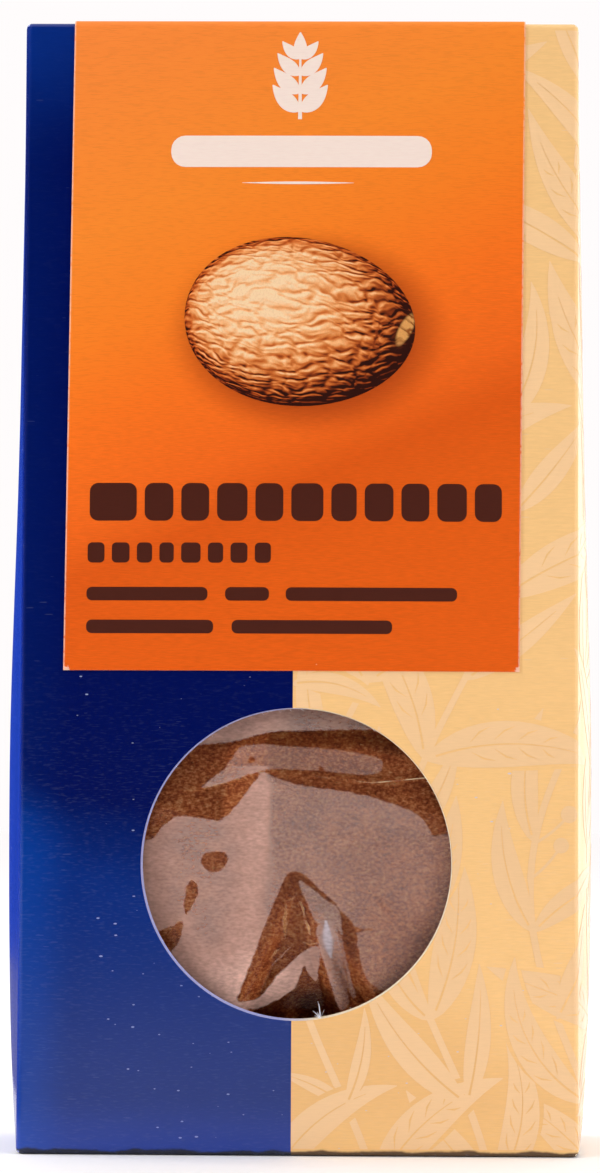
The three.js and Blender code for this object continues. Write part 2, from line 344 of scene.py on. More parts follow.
def varnished_boxboard():
    """Folding boxboard, offset printed and varnished: a smooth shine over flat strong colour, a
    faint run of fibres across, and pale nicks where the varnish has rubbed through."""
    material, add, place = new_material("varnished_boxboard")
    printed, cream_side = board_print(add, place)
    # Fibres about 1.5 mm long and 0.15 mm across lie level.
    fibres = level_noise(add, place, 660, 6600, 3.0)
    grained = vary(add, printed, fibres, 0.965, 1.035)
    # Nicks up to 0.45 mm long and 0.2 mm high, a few to each square centimetre, faint or bright.
    nick_run = add("Mapping", place, Scale=(520, 520, 1100))
    nicks, nick_draw = spots(add, nick_run, 1.0, 0.6, 0.95, 0.12)
    nick_strength = add("MapRange", add("SeparateXYZ", nick_draw, out="Y"), 0.3, 1.0, 0.05, 0.5)
    nick = add("Math.MULTIPLY", nicks, nick_strength)
    # Hair scratches up to 1.4 mm long, slanting a little.
    scratch_run = add("Mapping", place, Rotation=(0.0, 0.12, 0.0), Scale=(160, 160, 1500))
    scratches, _ = spots(add, scratch_run, 1.0, 0.64, 0.9, 0.11)
    scratch_strength = add("MapRange", cream_side, To_Min=0.045, To_Max=0.08)
    scratch = add("Math.MULTIPLY", scratches, scratch_strength)
    # Level streaks 0.5 to 1 mm long, where the varnish is rubbed dull.
    streaks = add(RISE, level_noise(add, place, 1100, 5600, 2.0), 0.5, 0.75)
    height = add("SeparateXYZ", place, out="Z")
    streak = add("Math.MULTIPLY", streaks, add("MapRange", height, 0.042, 0.06, 0.024, 0.005))
    rub = add("Math.ADD", add("Math.MAXIMUM", nick, scratch), streak)
    # Creases, where the print has cracked a little.
    wear = add("Attribute", out="Fac", attribute_name="crease_wear")
    cracked = add("Math.MULTIPLY", wear, add("TexNoise", place, 1800.0, 2.0))
    crease = add("MapRange", cracked, 0.44, 0.8, 0.0, 0.24)
    worn = add(MIX, add("Math.MAXIMUM", rub, crease), grained, "#C4D2FF")
    roughness = add("MapRange", fibres, 0.3, 0.7, 0.17, 0.23)
    waves = add("TexNoise", place, 55.0, 1.0)
    wavy = add("Bump", Height=waves, Strength=0.5, Distance=0.00012)
    surface = add("Bump", Height=fibres, Strength=0.4, Distance=0.00001, Normal=wavy)
    coat(add, worn, roughness, 1.47, Normal=surface)
    return material


def raw_boxboard():
    """The grey-white core of the board, die-cut: matt and fibrous, tinted lilac on the navy side and warm
    on the cream side.
    """
    material, add, place = new_material("raw_boxboard")
    side = add("MapRange", add("SeparateXYZ", place), -0.002, 0.002)
    tint = add(MIX, side, "#A9AEE2", "#F8E6C8")
    fibres = add("TexNoise", place, 4500.0, 3.0)
    bump = add("Bump", Height=fibres, Strength=0.5, Distance=0.00005)
    coat(add, vary(add, tint, fibres, 0.85, 1.03), 0.85, 1.45, Normal=bump)
    return material


def varnished_ink(name, code, mottle):
    """Offset ink under the board's varnish: as smooth as the board, with a slight mottle, and a
    little paler from the upper part of the window up."""
    material, add, place = new_material(name)
    fibres = level_noise(add, place, 660, 6600, 3.0)
    shade = add("MapRange", fibres, 0.3, 0.7, 1 - mottle, 1 + mottle)
    paling = add("MapRange", add("SeparateXYZ", place, out="Z"), 0.04, 0.06, 1.0, 1.08)
    grained = add("VectorMath.SCALE", code, add("Math.MULTIPLY", shade, paling))
    bump = add("Bump", Height=fibres, Strength=0.4, Distance=0.00001)
    coat(add, grained, 0.2, 1.47, Normal=bump)
    return material


def label_paper():
    """Uncoated label paper printed in one solid orange: matt, with level fibres that take the ink
    unevenly. Its orange is lighter at the head, deeper at the foot and darker to the right: painted
    light falling from the upper left."""
    material, add, place = new_material("uncoated_label_paper")
    # Painted light from the upper left: lighter at the head and the left, deeper at the foot and the right.
    up = add("MapRange", add("SeparateXYZ", place, out="Z"), LABEL_FOOT_Z * MM, HEIGHT * MM)
    across = add("MapRange", add("SeparateXYZ", place), -0.028, 0.026, 0.0, -0.3)
    fade = [(0.0, "#E95F0D"), (1.0, "#FF8B3B"), (0.13, "#E35A0C"), (0.21, "#F66917"),
            (0.36, "#FE751B"), (0.5, "#FF8322"), (0.65, "#FF8C2B")]
    orange = add("ValToRGB", add("Math.ADD", up, across), stops=fade)
    # The printed shadow under the pictured nut, soft and wide.
    from_nut = add("Mapping", place, (-NUT_SHADOW[0] * MM, 0.0, -NUT_SHADOW[1] * MM))
    spread = (1 / (NUT_RADII[0] * MM), 0.0, 1 / (NUT_RADII[1] * MM))
    shadow_out = add("VectorMath.LENGTH", add("Mapping", from_nut, None, (0.0, NUT_TILT, 0.0), spread))
    shadow = add(RISE, shadow_out, 1.3, 0.85, 0.0, 0.62)
    on_front = add("Math.LESS_THAN", add("SeparateXYZ", place, out="Y"), 0.0)
    orange = add(MIX, add("Math.MULTIPLY", shadow, on_front), orange, "#8A2A04")
    # Fibres about 1.2 mm long and 0.12 mm across lie level.
    fibres = level_noise(add, place, 800, 8000, 4.0)
    grained = vary(add, orange, fibres, 0.92, 1.07)
    # Pinholes in the ink, up to 0.2 mm across.
    pinholes, _ = spots(add, place, 420.0, 0.5, 1.0, 0.04)
    # The paper's long edges are pale, the left one more, and its foot corners are torn.
    from_left = add("Attribute", out="Fac", attribute_name="label_across")
    from_foot = add("Attribute", out="Fac", attribute_name="label_run")
    from_right = add("Math.SUBTRACT", LABEL_WIDTH, from_left)
    ragged = add("TexNoise", place, 1700.0, 2.0)
    left_rim = add(RISE, from_left, 0.22, 0.08, 0.0, 0.6)
    right_rim = add(RISE, from_right, 0.2, 0.08, 0.0, 0.5)
    rims = add("Math.MAXIMUM", left_rim, right_rim)
    pale_rims = add("Math.MULTIPLY", rims, add(RISE, ragged, 0.2, 0.5))
    nearer_side = add("Math.MINIMUM", from_left, from_right)
    corner_out = add("VectorMath.LENGTH", add("CombineXYZ", nearer_side, from_foot))
    corner = add("Math.MULTIPLY_ADD", ragged, -1.3, corner_out)
    torn = add(RISE, corner, 0.0, -0.15, 0.0, 0.7)
    bare = add("Math.MAXIMUM", pale_rims, torn)
    pale = add("Math.MAXIMUM", bare, add("Math.MULTIPLY", pinholes, 0.4))
    bump = add("Bump", Height=fibres, Strength=0.6, Distance=0.00002)
    inked = add(MIX, pale, grained, "#FFDCC4")
    coat(add, inked, 0.6, 1.45, Normal=bump, Specular_IOR_Level=0.25)
    return material


def toned(name, scale, detail, stops, roughness=0.8):
    """A dull stuff that wanders between the tones of a ramp."""
    material, add, place = new_material(name)
    tone = add("ValToRGB", add("TexNoise", place, scale, detail), stops=stops)
    coat(add, tone, roughness, 1.45)
    return material


def cut_paper():
    """The label's cut edge: bare white paper with a blush of the ink."""
    return toned("cut_paper_edge", 3000.0, 2.0, [(0.3, "#F4C9BC"), (0.7, "#FFEDE6")])


def coarse_grains():
    """Coarser bits of the same nut, each of one colour from near black shell to tan kernel."""
    tones = [(0.3, "#4A2410"), (0.72, "#D8A46C"), (0.45, "#824A28"), (0.6, "#AE7040")]
    return toned("coarse_nutmeg_grains", 1400.0, 0.0, tones)


def paper_fibre():
    """Loose fibres of the cut board: white and matt, and greyer here and there."""
    return toned("cut_paper_fibres", 2500.0, 1.0, [(0.3, "#E8E4F2"), (0.7, "#FFFFFF")])


def matt_ink(name, code, mottle):
    """Ink soaked into uncoated paper: matt, and broken up a little by the fibres."""
    material, add, place = new_material(name)
    fibres = level_noise(add, place, 800, 8000, 4.0)
    bump = add("Bump", Height=fibres, Strength=0.6, Distance=0.00002)
    coat(add, vary(add, code, fibres, 1 - mottle, 1 + mottle), 0.55, 1.45, Normal=bump)
    return material


# ---- Carton -------------------------------------------------------------------------------------

END_LEVELS = [1.2, 1.8, 2.6, 3.6, 4.8, 6.2, 8, 10]
HEAD_LEVELS = [HEIGHT - level for level in reversed(END_LEVELS)]
BOARD_LEVELS = [*END_LEVELS, *[12.5 + 2.5 * i for i in range(45)], *HEAD_LEVELS]
FLAT_X = HALF_WIDTH - CREASE_RADIUS
FLAT_Y = HALF_DEPTH - CREASE_RADIUS
BOARD_COLUMNS = steps(-FLAT_X, FLAT_X, 2.1)
BOARD_DEPTHS = steps(-FLAT_Y, FLAT_Y, 1.3)
CUT_SHRINK = 0.17  # the knife left the window's inner edge this much smaller
CUT_SHIFT = (0.06, 0.07)  # and this much to the right and up
WALL_DEPTH = 0.3  # a face this far behind the walls' planes is inside the carton
CUBE = bpy.ops.mesh.primitive_cube_add


def box_cutter(low, high):
    size = [b - a for a, b in zip(low, high)]
    middle = [(a + b) / 2 for a, b in zip(low, high)]
    return start_piece("slit", CUBE, size, size=1, location=middle)


def tuck_slits(low_z, high_z):
    """Cutters for the slits beside and behind a tucked-in end, which is hinged at the front."""
    side_x = HALF_WIDTH - SLIT_FROM_SIDE
    front_y = -HALF_DEPTH + 2 * FOLD_RADIUS
    back_y = HALF_DEPTH - SLIT_FROM_BACK
    return [
        box_cutter((-side_x, front_y, low_z), (-side_x + SLIT, back_y - SLIT, high_z)),
        box_cutter((side_x - SLIT, front_y, low_z), (side_x, back_y - SLIT, high_z)),
        box_cutter((-side_x, back_y - SLIT, low_z), (side_x, back_y, high_z)),
    ]


def swell_walls(piece, reach):
    """Moves what lies within reach of the walls' planes out as the fill pushes the walls."""
    for vertex in piece.data.vertices:
        x, y, z = vertex.co
        if abs(y) > HALF_DEPTH - reach - 1e-3:
            vertex.co.y += math.copysign(face_swell(x, z), y)
        if abs(x) > HALF_WIDTH - reach - 1e-3:
            vertex.co.x += math.copysign(side_swell(y, z), x)


def crease_wear(place):
    """How near a place is to a crease, from 0 at a millimetre off to 1."""
    x, y, z = place
    off = (HALF_WIDTH - abs(x), HALF_DEPTH - abs(y), min(z, HEIGHT - z))
    return max(0.0, 1 - sorted(max(0.0, each) for each in off)[1])


def is_printed(face):
    """True on the board's outer side, and not in a cut or inside."""
    x, y, z = face.center
    out_y = abs(y) - HALF_DEPTH - face_swell(x, z)
    out_x = abs(x) - HALF_WIDTH - side_swell(y, z)
    out_z = max(z - HEIGHT, -z)
    if max(out_x, out_y, out_z) < -WALL_DEPTH:
        return False
    if abs(face.normal.z) > 0.7:
        return face.normal.z * (z - HEIGHT / 2) > 0 and out_z > -0.2
    in_window = math.hypot(*from_window(x, z)) < WINDOW_RADIUS + 0.01 and y < 0
    if in_window and abs(face.normal.y) < 0.9:
        return False
    in_slit = out_z > -2 * BOARD and max(out_x, out_y) < -FOLD_RADIUS * 0.6
    return (face.normal.x * x > 0 or face.normal.y * y > 0) and not in_slit


def make_carton(printed, core):
    size = (2 * HALF_WIDTH, 2 * HALF_DEPTH, HEIGHT)
    piece = start_piece("folded_board", CUBE, size, size=1, location=(0, 0, HEIGHT / 2))

    def run_and_middle(edge):
        ends = [piece.data.vertices[i].co for i in edge.vertices]
        return (ends[1] - ends[0]).normalized(), (ends[0] + ends[1]) / 2

    def upright(edge):
        return abs(run_and_middle(edge)[0].z) > 0.9

    def on_an_end(edge):
        run, middle = run_and_middle(edge)
        return abs(run.z) < 0.1 and abs(middle.z - HEIGHT / 2) > HEIGHT / 2 - 0.01

    for test, radius, segments in ((upright, CREASE_RADIUS, 5), (on_an_end, FOLD_RADIUS, 4)):
        bevel = {"offset": radius, "segments": segments, "affect": "EDGES"}
        work(piece, "EDGE", test, bpy.ops.mesh.bevel, **bevel)
    for axis, places in enumerate((BOARD_COLUMNS, BOARD_DEPTHS, BOARD_LEVELS)):
        slice_at(piece, axis, places)
    swell_walls(piece, CREASE_RADIUS)
    apply_modifier(piece, "SOLIDIFY", thickness=BOARD, offset=-1, use_even_offset=True)
    punch = start_piece(
        "punch",
        bpy.ops.mesh.primitive_cylinder_add,
        vertices=180,
        radius=WINDOW_RADIUS,
        depth=HALF_DEPTH,
        location=(WINDOW_X, -HALF_DEPTH, WINDOW_Z),
        rotation=(math.pi / 2, 0, 0),
    )
    cut_away(piece, punch)
    for low_z, high_z in ((HEIGHT - 2 * BOARD, HEIGHT + 1), (-1, 2 * BOARD)):
        for slit in tuck_slits(low_z, high_z):
            cut_away(piece, slit)
    # The inner edge of the die cut stands in a little, so that the cut shows from the front.
    shrunk = (WINDOW_RADIUS - CUT_SHRINK) / WINDOW_RADIUS
    for vertex in piece.data.vertices:
        x, y, z = vertex.co
        u, v = from_window(x, z)
        behind = y + HALF_DEPTH + face_swell(x, z)
        if abs(math.hypot(u, v) - WINDOW_RADIUS) < 0.02 and y < 0 and behind > BOARD / 2:
            vertex.co.x = WINDOW_X + u * shrunk + CUT_SHIFT[0]
            vertex.co.z = WINDOW_Z + v * shrunk + CUT_SHIFT[1]
    write_attributes(piece, crease_wear=[crease_wear(vertex.co) for vertex in piece.data.vertices])
    piece.data.materials.clear()
    for material in (printed, core):
        piece.data.materials.append(material)
    for face in piece.data.polygons:
        face.material_index = int(not is_printed(face))
    return finish_piece(piece, (), replaced=["carton"])


# ---- Prints: flat outlines, cut against each other, wrapped onto what carries them -----------------

INK_THICK = 0.01
VEIN_SLITS = range(4, 12, 2)  # the points of a leaf's route that side veins slant off from
BROAD_LEAF = 4.0  # a leaf this wide has side veins
LEAF_ROOT = 0.05  # half a leaf's width at its root


def lay_print(name, slot, layers, columns, levels, wrap, material):
    """One closed skin of ink from outlines in painting order, each inked or left bare where it is
    on top. Wrap gives the place of a point."""
    points = [Vector(p) for outline, _ in layers for p in outline]
    faces = []
    start = 0
    for outline, _ in layers:
        faces.append(list(range(start, start + len(outline))))
        start += len(outline)
    verts, _, tris, _, _, owners = geometry.delaunay_2d_cdt(points, [], faces, 1, 1e-5)
    inked = [tri for tri, owner in zip(tris, owners) if owner and layers[max(owner)][1]]
    mesh = bpy.data.meshes.new(name)
    mesh.from_pydata([(p.x, 0.0, p.y) for p in verts], [], inked)
    piece = link_piece(name, mesh)
    select_only(piece)
    bpy.ops.object.mode_set(mode="EDIT")
    bpy.ops.mesh.select_all(action="SELECT")
    bpy.ops.mesh.delete_loose()
    bpy.ops.object.mode_set(mode="OBJECT")
    slice_at(piece, 0, columns)
    slice_at(piece, 2, levels)
    for vertex in mesh.vertices:
        vertex.co = wrap(vertex.co.x, vertex.co.z)
    apply_modifier(piece, "SOLIDIFY", thickness=INK_THICK, offset=1)
    return finish_piece(piece, [material])


def arc_points(middle, radii, start, end, count):
    """Points on a stretch of an ellipse, angles in degrees, anticlockwise."""
    angles = [math.radians(start + (end - start) * i / count) for i in range(count + 1)]
    return [(middle[0] + radii[0] * math.cos(a), middle[1] + radii[1] * math.sin(a)) for a in angles]


def ring_points(middle, radius, count):
    return arc_points(middle, (radius, radius), 0, 360, count)[:-1]


def rounded_bar(low, high, corner):
    """A rectangle with rounded corners."""
    lefts, rights = low[0] + corner, high[0] - corner
    foot, head = low[1] + corner, high[1] - corner
    points = []
    for i, middle in enumerate(((rights, head), (lefts, head), (lefts, foot), (rights, foot))):
        points += arc_points(middle, (corner, corner), 90 * i, 90 * i + 90, 5)
    return points


def swept(route, width):
    """A closed outline along a route, with its half width given for each share of the run."""
    left, right = [], []
    for i, point in enumerate(route):
        ahead, behind = route[min(i + 1, len(route) - 1)], route[max(i - 1, 0)]
        run = (Vector(ahead) - Vector(behind)).normalized()
        aside = Vector((-run.y, run.x)) * width(i / (len(route) - 1))
        left.append(tuple(Vector(point) + aside))
        right.append(tuple(Vector(point) - aside))
    return right + left[::-1]


def go_on(route, heading, step):
    """Adds a step to a route, at a heading in degrees."""
    angle, last = math.radians(heading), route[-1]
    route.append((last[0] + step * math.cos(angle), last[1] + step * math.sin(angle)))


def bend_route(start, heading, length, bend, count=16):
    """A route that starts at a heading in degrees and turns by bend degrees along its length."""
    route = [start]
    for i in range(count):
        go_on(route, heading + bend * (i + 0.5) / count, length / count)
    return route


def leaf_half_width(width, share):
    """A leaf's half width at a share of its length: a fine root, a full middle, a long point."""
    return LEAF_ROOT + width / 2 * math.sin(math.pi * share**0.78) ** 0.95 * (share < 0.999)


def leaf_blade(route, width, rim=0.0):
    return swept(route, lambda share: rim + leaf_half_width(width, share))


def leaf_veins(route, width):
    """Slits in a leaf where the ground shows: along its middle, and slanting off it if it is broad."""
    veins = [swept(route[1:14], lambda share: 0.03 + 0.1 * (1 - share))]
    for i in VEIN_SLITS if width >= BROAD_LEAF else ():
        run = (Vector(route[i + 1]) - Vector(route[i - 1])).normalized()
        for side in (-1, 1):
            aside = Vector((-run.y, run.x)) * side
            reach = leaf_half_width(width, (i + 2) / (len(route) - 1))
            root = Vector(route[i]) + 0.22 * reach * aside
            tip = root + 0.52 * reach * aside + 0.95 * reach * run
            belly = (root + tip) / 2 + 0.1 * reach * aside
            vein = [tuple(root), tuple(belly), tuple(tip)]
            veins.append(swept(vein, lambda share: 0.02 + 0.09 * math.sin(math.pi * share)))
    return veins


# Foliage over the cream, measured round the carton from the front's middle and up.
TURN = CREASE_RADIUS * math.pi / 2
BACK_MIDDLE_RUN = 2 * FLAT_X + 2 * FLAT_Y + 2 * TURN
BACK_SPLIT_RUN = BACK_MIDDLE_RUN - PRINT_SPLIT_X


def round_the_carton(run, z):
    """The place at a run round the carton from the front's middle, lifted off the board."""
    out = CREASE_RADIUS + INK_LIFT
    if run <= FLAT_X:
        return Vector((run, -(HALF_DEPTH + face_swell(run, z) + INK_LIFT), z))
    run -= FLAT_X
    if run <= TURN:
        angle = run / CREASE_RADIUS
        return Vector((FLAT_X + out * math.sin(angle), -(FLAT_Y + out * math.cos(angle)), z))
    run -= TURN
    if run <= 2 * FLAT_Y:
        y = run - FLAT_Y
        return Vector((HALF_WIDTH + side_swell(y, z) + INK_LIFT, y, z))
    run -= 2 * FLAT_Y
    if run <= TURN:
        angle = run / CREASE_RADIUS
        return Vector((FLAT_X + out * math.cos(angle), FLAT_Y + out * math.sin(angle), z))
    x = FLAT_X - (run - TURN)
    return Vector((x, HALF_DEPTH + face_swell(x, z) + INK_LIFT, z))


STEM_COUNT = 8
STEM_PITCH = 13.2
STEM_STEPS = 72
STEM_LENGTH = 152
STEM_SWAY = 26  # degrees to each side of its heading
LEAF_EVERY = 5  # steps of the stem from one pair of leaves to the next
LEAF_LENGTHS = (14, 25)
LEAF_SHARES = (0.17, 0.25)  # a leaf's width for its length
LEAF_RIM = 0.4  # bare ground left round a leaf
LEAF_TURNS = (26, 58)  # degrees between a leaf's root and its stem
LEAF_BENDS = (-75, 60)  # degrees that a leaf turns along its length
LEAF_TRIES = (1, 1, 0.8, 0.62)  # the sizes that a bud tries in turn
HIDDEN_MOST = 0.25  # the share of a leaf's length that may lie on other leaves
BERRY_TRIES = 420
BERRY_RADII = (0.8, 1.25)
STALK = (5.4, 24, 6)  # a berry's stalk: its length, its turn in degrees and its points
STALK_TURN = 50
STEM_ROOM = 0.4  # berries keep clear of this much on each side of a stem's middle
END_BARE = 0.9  # the print stops this far from the foot and the head
FAR = 300  # past all the print


def swaying_stem(number):
    """A stem's route from below the foot to above the head, and its heading at each point."""
    route = [(-2.0 + STEM_PITCH * number + random.uniform(-1.2, 1.2), -8.0)]
    lean, start = random.uniform(86, 91), 0.5 + random.uniform(-0.35, 0.35)
    headings = []
    for i in range(STEM_STEPS):
        share = i / STEM_STEPS
        headings.append(lean + STEM_SWAY * math.sin(start + 1.7 * math.tau * share))
        go_on(route, headings[-1], STEM_LENGTH / STEM_STEPS)
    return route, headings


def hidden_share(route, taken, room):
    """The share of a route's points that come within some room of what is drawn."""
    hidden = 0
    for x, z in route:
        hidden += (np.hypot(taken[:, 0] - x, taken[:, 1] - z) < taken[:, 2] + room).any()
    return hidden / len(route)


def foliage_layers():
    """Swaying stems, then pairs of curved leaves, each with a bare rim, and berries between."""
    stems = [swaying_stem(number) for number in range(STEM_COUNT)]
    layers = [(swept(route, lambda share: 0.45 - 0.15 * share), True) for route, _ in stems]
    places = range(2, STEM_STEPS, LEAF_EVERY)
    buds = [(stem, i, side) for stem in stems for i in places for side in (-1, 1)]
    random.shuffle(buds)
    taken = np.array([(0.0, -50.0, 0.1)])
    for (route, headings), i, side in buds:
        for shrink in LEAF_TRIES:
            length = random.uniform(*LEAF_LENGTHS) * shrink
            width = length * random.uniform(*LEAF_SHARES)
            turn = side * random.uniform(*LEAF_TURNS)
            leaf = bend_route(route[i], headings[i] + turn, length, side * random.uniform(*LEAF_BENDS))
            if hidden_share(leaf[4:], taken, 0.2 * width) <= HIDDEN_MOST:
                layers.append((leaf_blade(leaf[2:], width, LEAF_RIM), False))
                layers.append((leaf_blade(leaf, width), True))
                layers += [(vein, False) for vein in leaf_veins(leaf, width)]
                last = len(leaf) - 1
                spots_taken = [(*leaf[k], leaf_half_width(width, k / last)) for k in range(2, last)]
                taken = np.concatenate([taken, np.array(spots_taken)])
                break
    stalked = np.array([(*point, STEM_ROOM) for route, _ in stems for point in route])
    for _ in range(BERRY_TRIES):
        route, headings = random.choice(stems)
        i = random.randrange(2, STEM_STEPS)
        stalk = bend_route(route[i], headings[i] + random.choice((-1, 1)) * STALK_TURN, *STALK)
        radius = random.uniform(*BERRY_RADII)
        everything = np.concatenate([taken, stalked])
        if hidden_share(stalk[2:], taken, 0.3) == 0 and hidden_share(stalk[-1:], everything, 2) == 0:
            layers.append((swept(stalk, lambda share: 0.17), True))
            layers.append((ring_points(stalk[-1], radius, 16), True))
            taken = np.concatenate([taken, [(*stalk[-1], radius)], [(*stalk[3], 0.3)]])
    return layers


def make_foliage(material):
    head = HEIGHT - END_BARE
    bare = [
        ring_points((WINDOW_X, WINDOW_Z), WINDOW_RADIUS + 0.05, 120),
        [(-FAR, -FAR), (PRINT_SPLIT_X, -FAR), (PRINT_SPLIT_X, FAR), (-FAR, FAR)],
        [(BACK_SPLIT_RUN, -FAR), (FAR, -FAR), (FAR, FAR), (BACK_SPLIT_RUN, FAR)],
        [(-FAR, -FAR), (FAR, -FAR), (FAR, END_BARE), (-FAR, END_BARE)],
        [(-FAR, head), (FAR, head), (FAR, FAR), (-FAR, FAR)],
    ]
    creases = (FLAT_X, FLAT_X + TURN + 2 * FLAT_Y)
    columns = [
        *[x for x in [-FLAT_X, *BOARD_COLUMNS] if x > PRINT_SPLIT_X],
        *[start + TURN * i / 5 for start in creases for i in range(6)],
        *[FLAT_X + TURN + FLAT_Y + y for y in BOARD_DEPTHS],
        *[BACK_MIDDLE_RUN - x for x in BOARD_COLUMNS if x > PRINT_SPLIT_X],
    ]
    layers = foliage_layers() + [(outline, False) for outline in bare]
    where = (columns, BOARD_LEVELS, round_the_carton)
    return lay_print("printed_foliage", "board", layers, *where, material)


# ---- Label --------------------------------------------------------------------------------------

FRONT_RUN = HEIGHT - FOLD_RADIUS - LABEL_FOOT_Z
FOLD_RUN = FOLD_RADIUS * math.pi / 2
LID_RUN = 2 * (HALF_DEPTH - FOLD_RADIUS)
BACK_RUN = LABEL_BACK_DROP - FOLD_RADIUS
LABEL_RUN = FRONT_RUN + 2 * FOLD_RUN + LID_RUN + BACK_RUN


def up_and_over(across, run, lift):
    """The place on the label's route: up the front, over the lid and down the back."""
    x = LABEL_LEFT + LABEL_LEAN * run + across
    middle = FRONT_RUN + FOLD_RUN + LID_RUN / 2
    side = -1 if run < middle else 1
    from_lid = abs(run - middle) - LID_RUN / 2
    angle = min(max(from_lid / FOLD_RADIUS, 0.0), math.pi / 2)
    inset = FOLD_RADIUS * (1 - math.sin(angle))
    z = HEIGHT - FOLD_RADIUS * (1 - math.cos(angle)) - max(0.0, from_lid - FOLD_RUN)
    y = side * (HALF_DEPTH + face_swell(x, z) - inset + lift * math.sin(angle))
    if from_lid < 0:
        y = run - middle
    rise = lift + LABEL_SLACK * math.cos(angle)
    return Vector((x, y, z + rise * math.cos(angle)))


def make_label(paper, edge):
    piece = start_piece(
        "paper_label",
        bpy.ops.mesh.primitive_grid_add,
        (LABEL_WIDTH, LABEL_RUN, 1),
        x_subdivisions=22,
        y_subdivisions=60,
        size=1,
        location=(LABEL_WIDTH / 2, LABEL_RUN / 2, 0),
    )
    folds = (FRONT_RUN, FRONT_RUN + FOLD_RUN + LID_RUN)
    slice_at(piece, 1, [start + FOLD_RUN * i / 6 for start in folds for i in range(7)])
    flat = [vertex.co.copy() for vertex in piece.data.vertices]
    write_attributes(piece, label_across=[place.x for place in flat], label_run=[place.y for place in flat])
    for vertex in piece.data.vertices:
        vertex.co = up_and_over(vertex.co.x, vertex.co.y, LABEL_LIFT)
    for material in (paper, edge):
        piece.data.materials.append(material)
    apply_modifier(piece, "SOLIDIFY", thickness=LABEL_THICK, offset=1, material_offset_rim=1)
    return finish_piece(piece, (), replaced=["label"])


def on_label(x, z):
    """The place on the label's face at a place of the front."""
    lift = LABEL_LIFT + LABEL_THICK + INK_LIFT
    return Vector((x, -(HALF_DEPTH + face_swell(x, z) + lift), z))


# Rows of blocks where the words were: left end, right end, foot, head, and the blocks' widths.
TITLE_ROW = (-25.0, 24.0, 74.9, 79.4, [5.6, 3.4, 3.3, 3.6, 3.3, 3.8, 3.0, 3.4, 3.3, 3.5, 3.2])
SUBTITLE_ROW = (-25.2, -3.4, 69.9, 72.3, [2.0, 2.1, 1.8, 1.7, 2.3, 1.8, 2.0, 1.9])
# Rows of bars for short words: each bar's left and right end, then the row's foot and head.
SMALL_ROWS = [
    ([(-25.3, -10.9), (-8.8, -3.6), (-1.6, 18.7)], 65.4, 67.0),
    ([(-25.3, -10.2), (-8.0, 11.0)], 61.5, 63.1),
]
BLOCK_CORNER, BAR_CORNER = 0.22, 0.4  # their corners' radius for their height
BAND = ((-15.6, 117.4), (15.6, 121.2), 1.7)  # two corners and their radius
RULE_LEFT, RULE_LENGTH, RULE_Z = -7.1, 13.4, 115.5
SPRIG_X, SPRIG_FOOT = -0.2, 123.2
SPRIG_TIP = (130.4, 3.4, 1.5)  # the top leaf's height, length and width
SPRIG_LEAVES = ((124.2, 4.6), (126.4, 4.4), (128.6, 3.8), (130.6, 3.0))  # height and length


def block_row(left, right, foot, head, widths):
    """Rounded blocks spread evenly from the left to the right."""
    gap = (right - left - sum(widths)) / (len(widths) - 1)
    blocks = []
    for width in widths:
        blocks.append(rounded_bar((left, foot), (left + width, head), BLOCK_CORNER * (head - foot)))
        left += width + gap
    return blocks


def print_on_label(name, shapes, material):
    columns = [-27 + 1.8 * i for i in range(31)]
    levels = [58 + 2.5 * i for i in range(31)]
    lay_print(name, "paper", [(shape, True) for shape in shapes], columns, levels, on_label, material)


def make_label_prints(dark, pale):
    words = block_row(*TITLE_ROW) + block_row(*SUBTITLE_ROW)
    for bars, foot, head in SMALL_ROWS:
        corner = BAR_CORNER * (head - foot)
        words += [rounded_bar((left, foot), (right, head), corner) for left, right in bars]
    print_on_label("label_word_bars", words, dark)
    rule_route = [(RULE_LEFT + RULE_LENGTH * i / 20, RULE_Z) for i in range(21)]
    rule = swept(rule_route, lambda share: 0.02 + 0.14 * math.sin(math.pi * share))
    stem = [(SPRIG_X, SPRIG_FOOT + i * 0.95) for i in range(10)]
    sprig = [swept(stem, lambda share: 0.24 - 0.12 * share)]
    for z, size in SPRIG_LEAVES:
        for side in (-1, 1):
            leaf = bend_route((SPRIG_X, z), 90 - side * 58, size, side * 24)
            sprig.append(leaf_blade(leaf, size * 0.42))
    tip_z, tip_length, tip_width = SPRIG_TIP
    sprig.append(leaf_blade(bend_route((SPRIG_X, tip_z), 90, tip_length, 0), tip_width))
    print_on_label("label_pale_print", [rounded_bar(*BAND), rule, *sprig], pale)


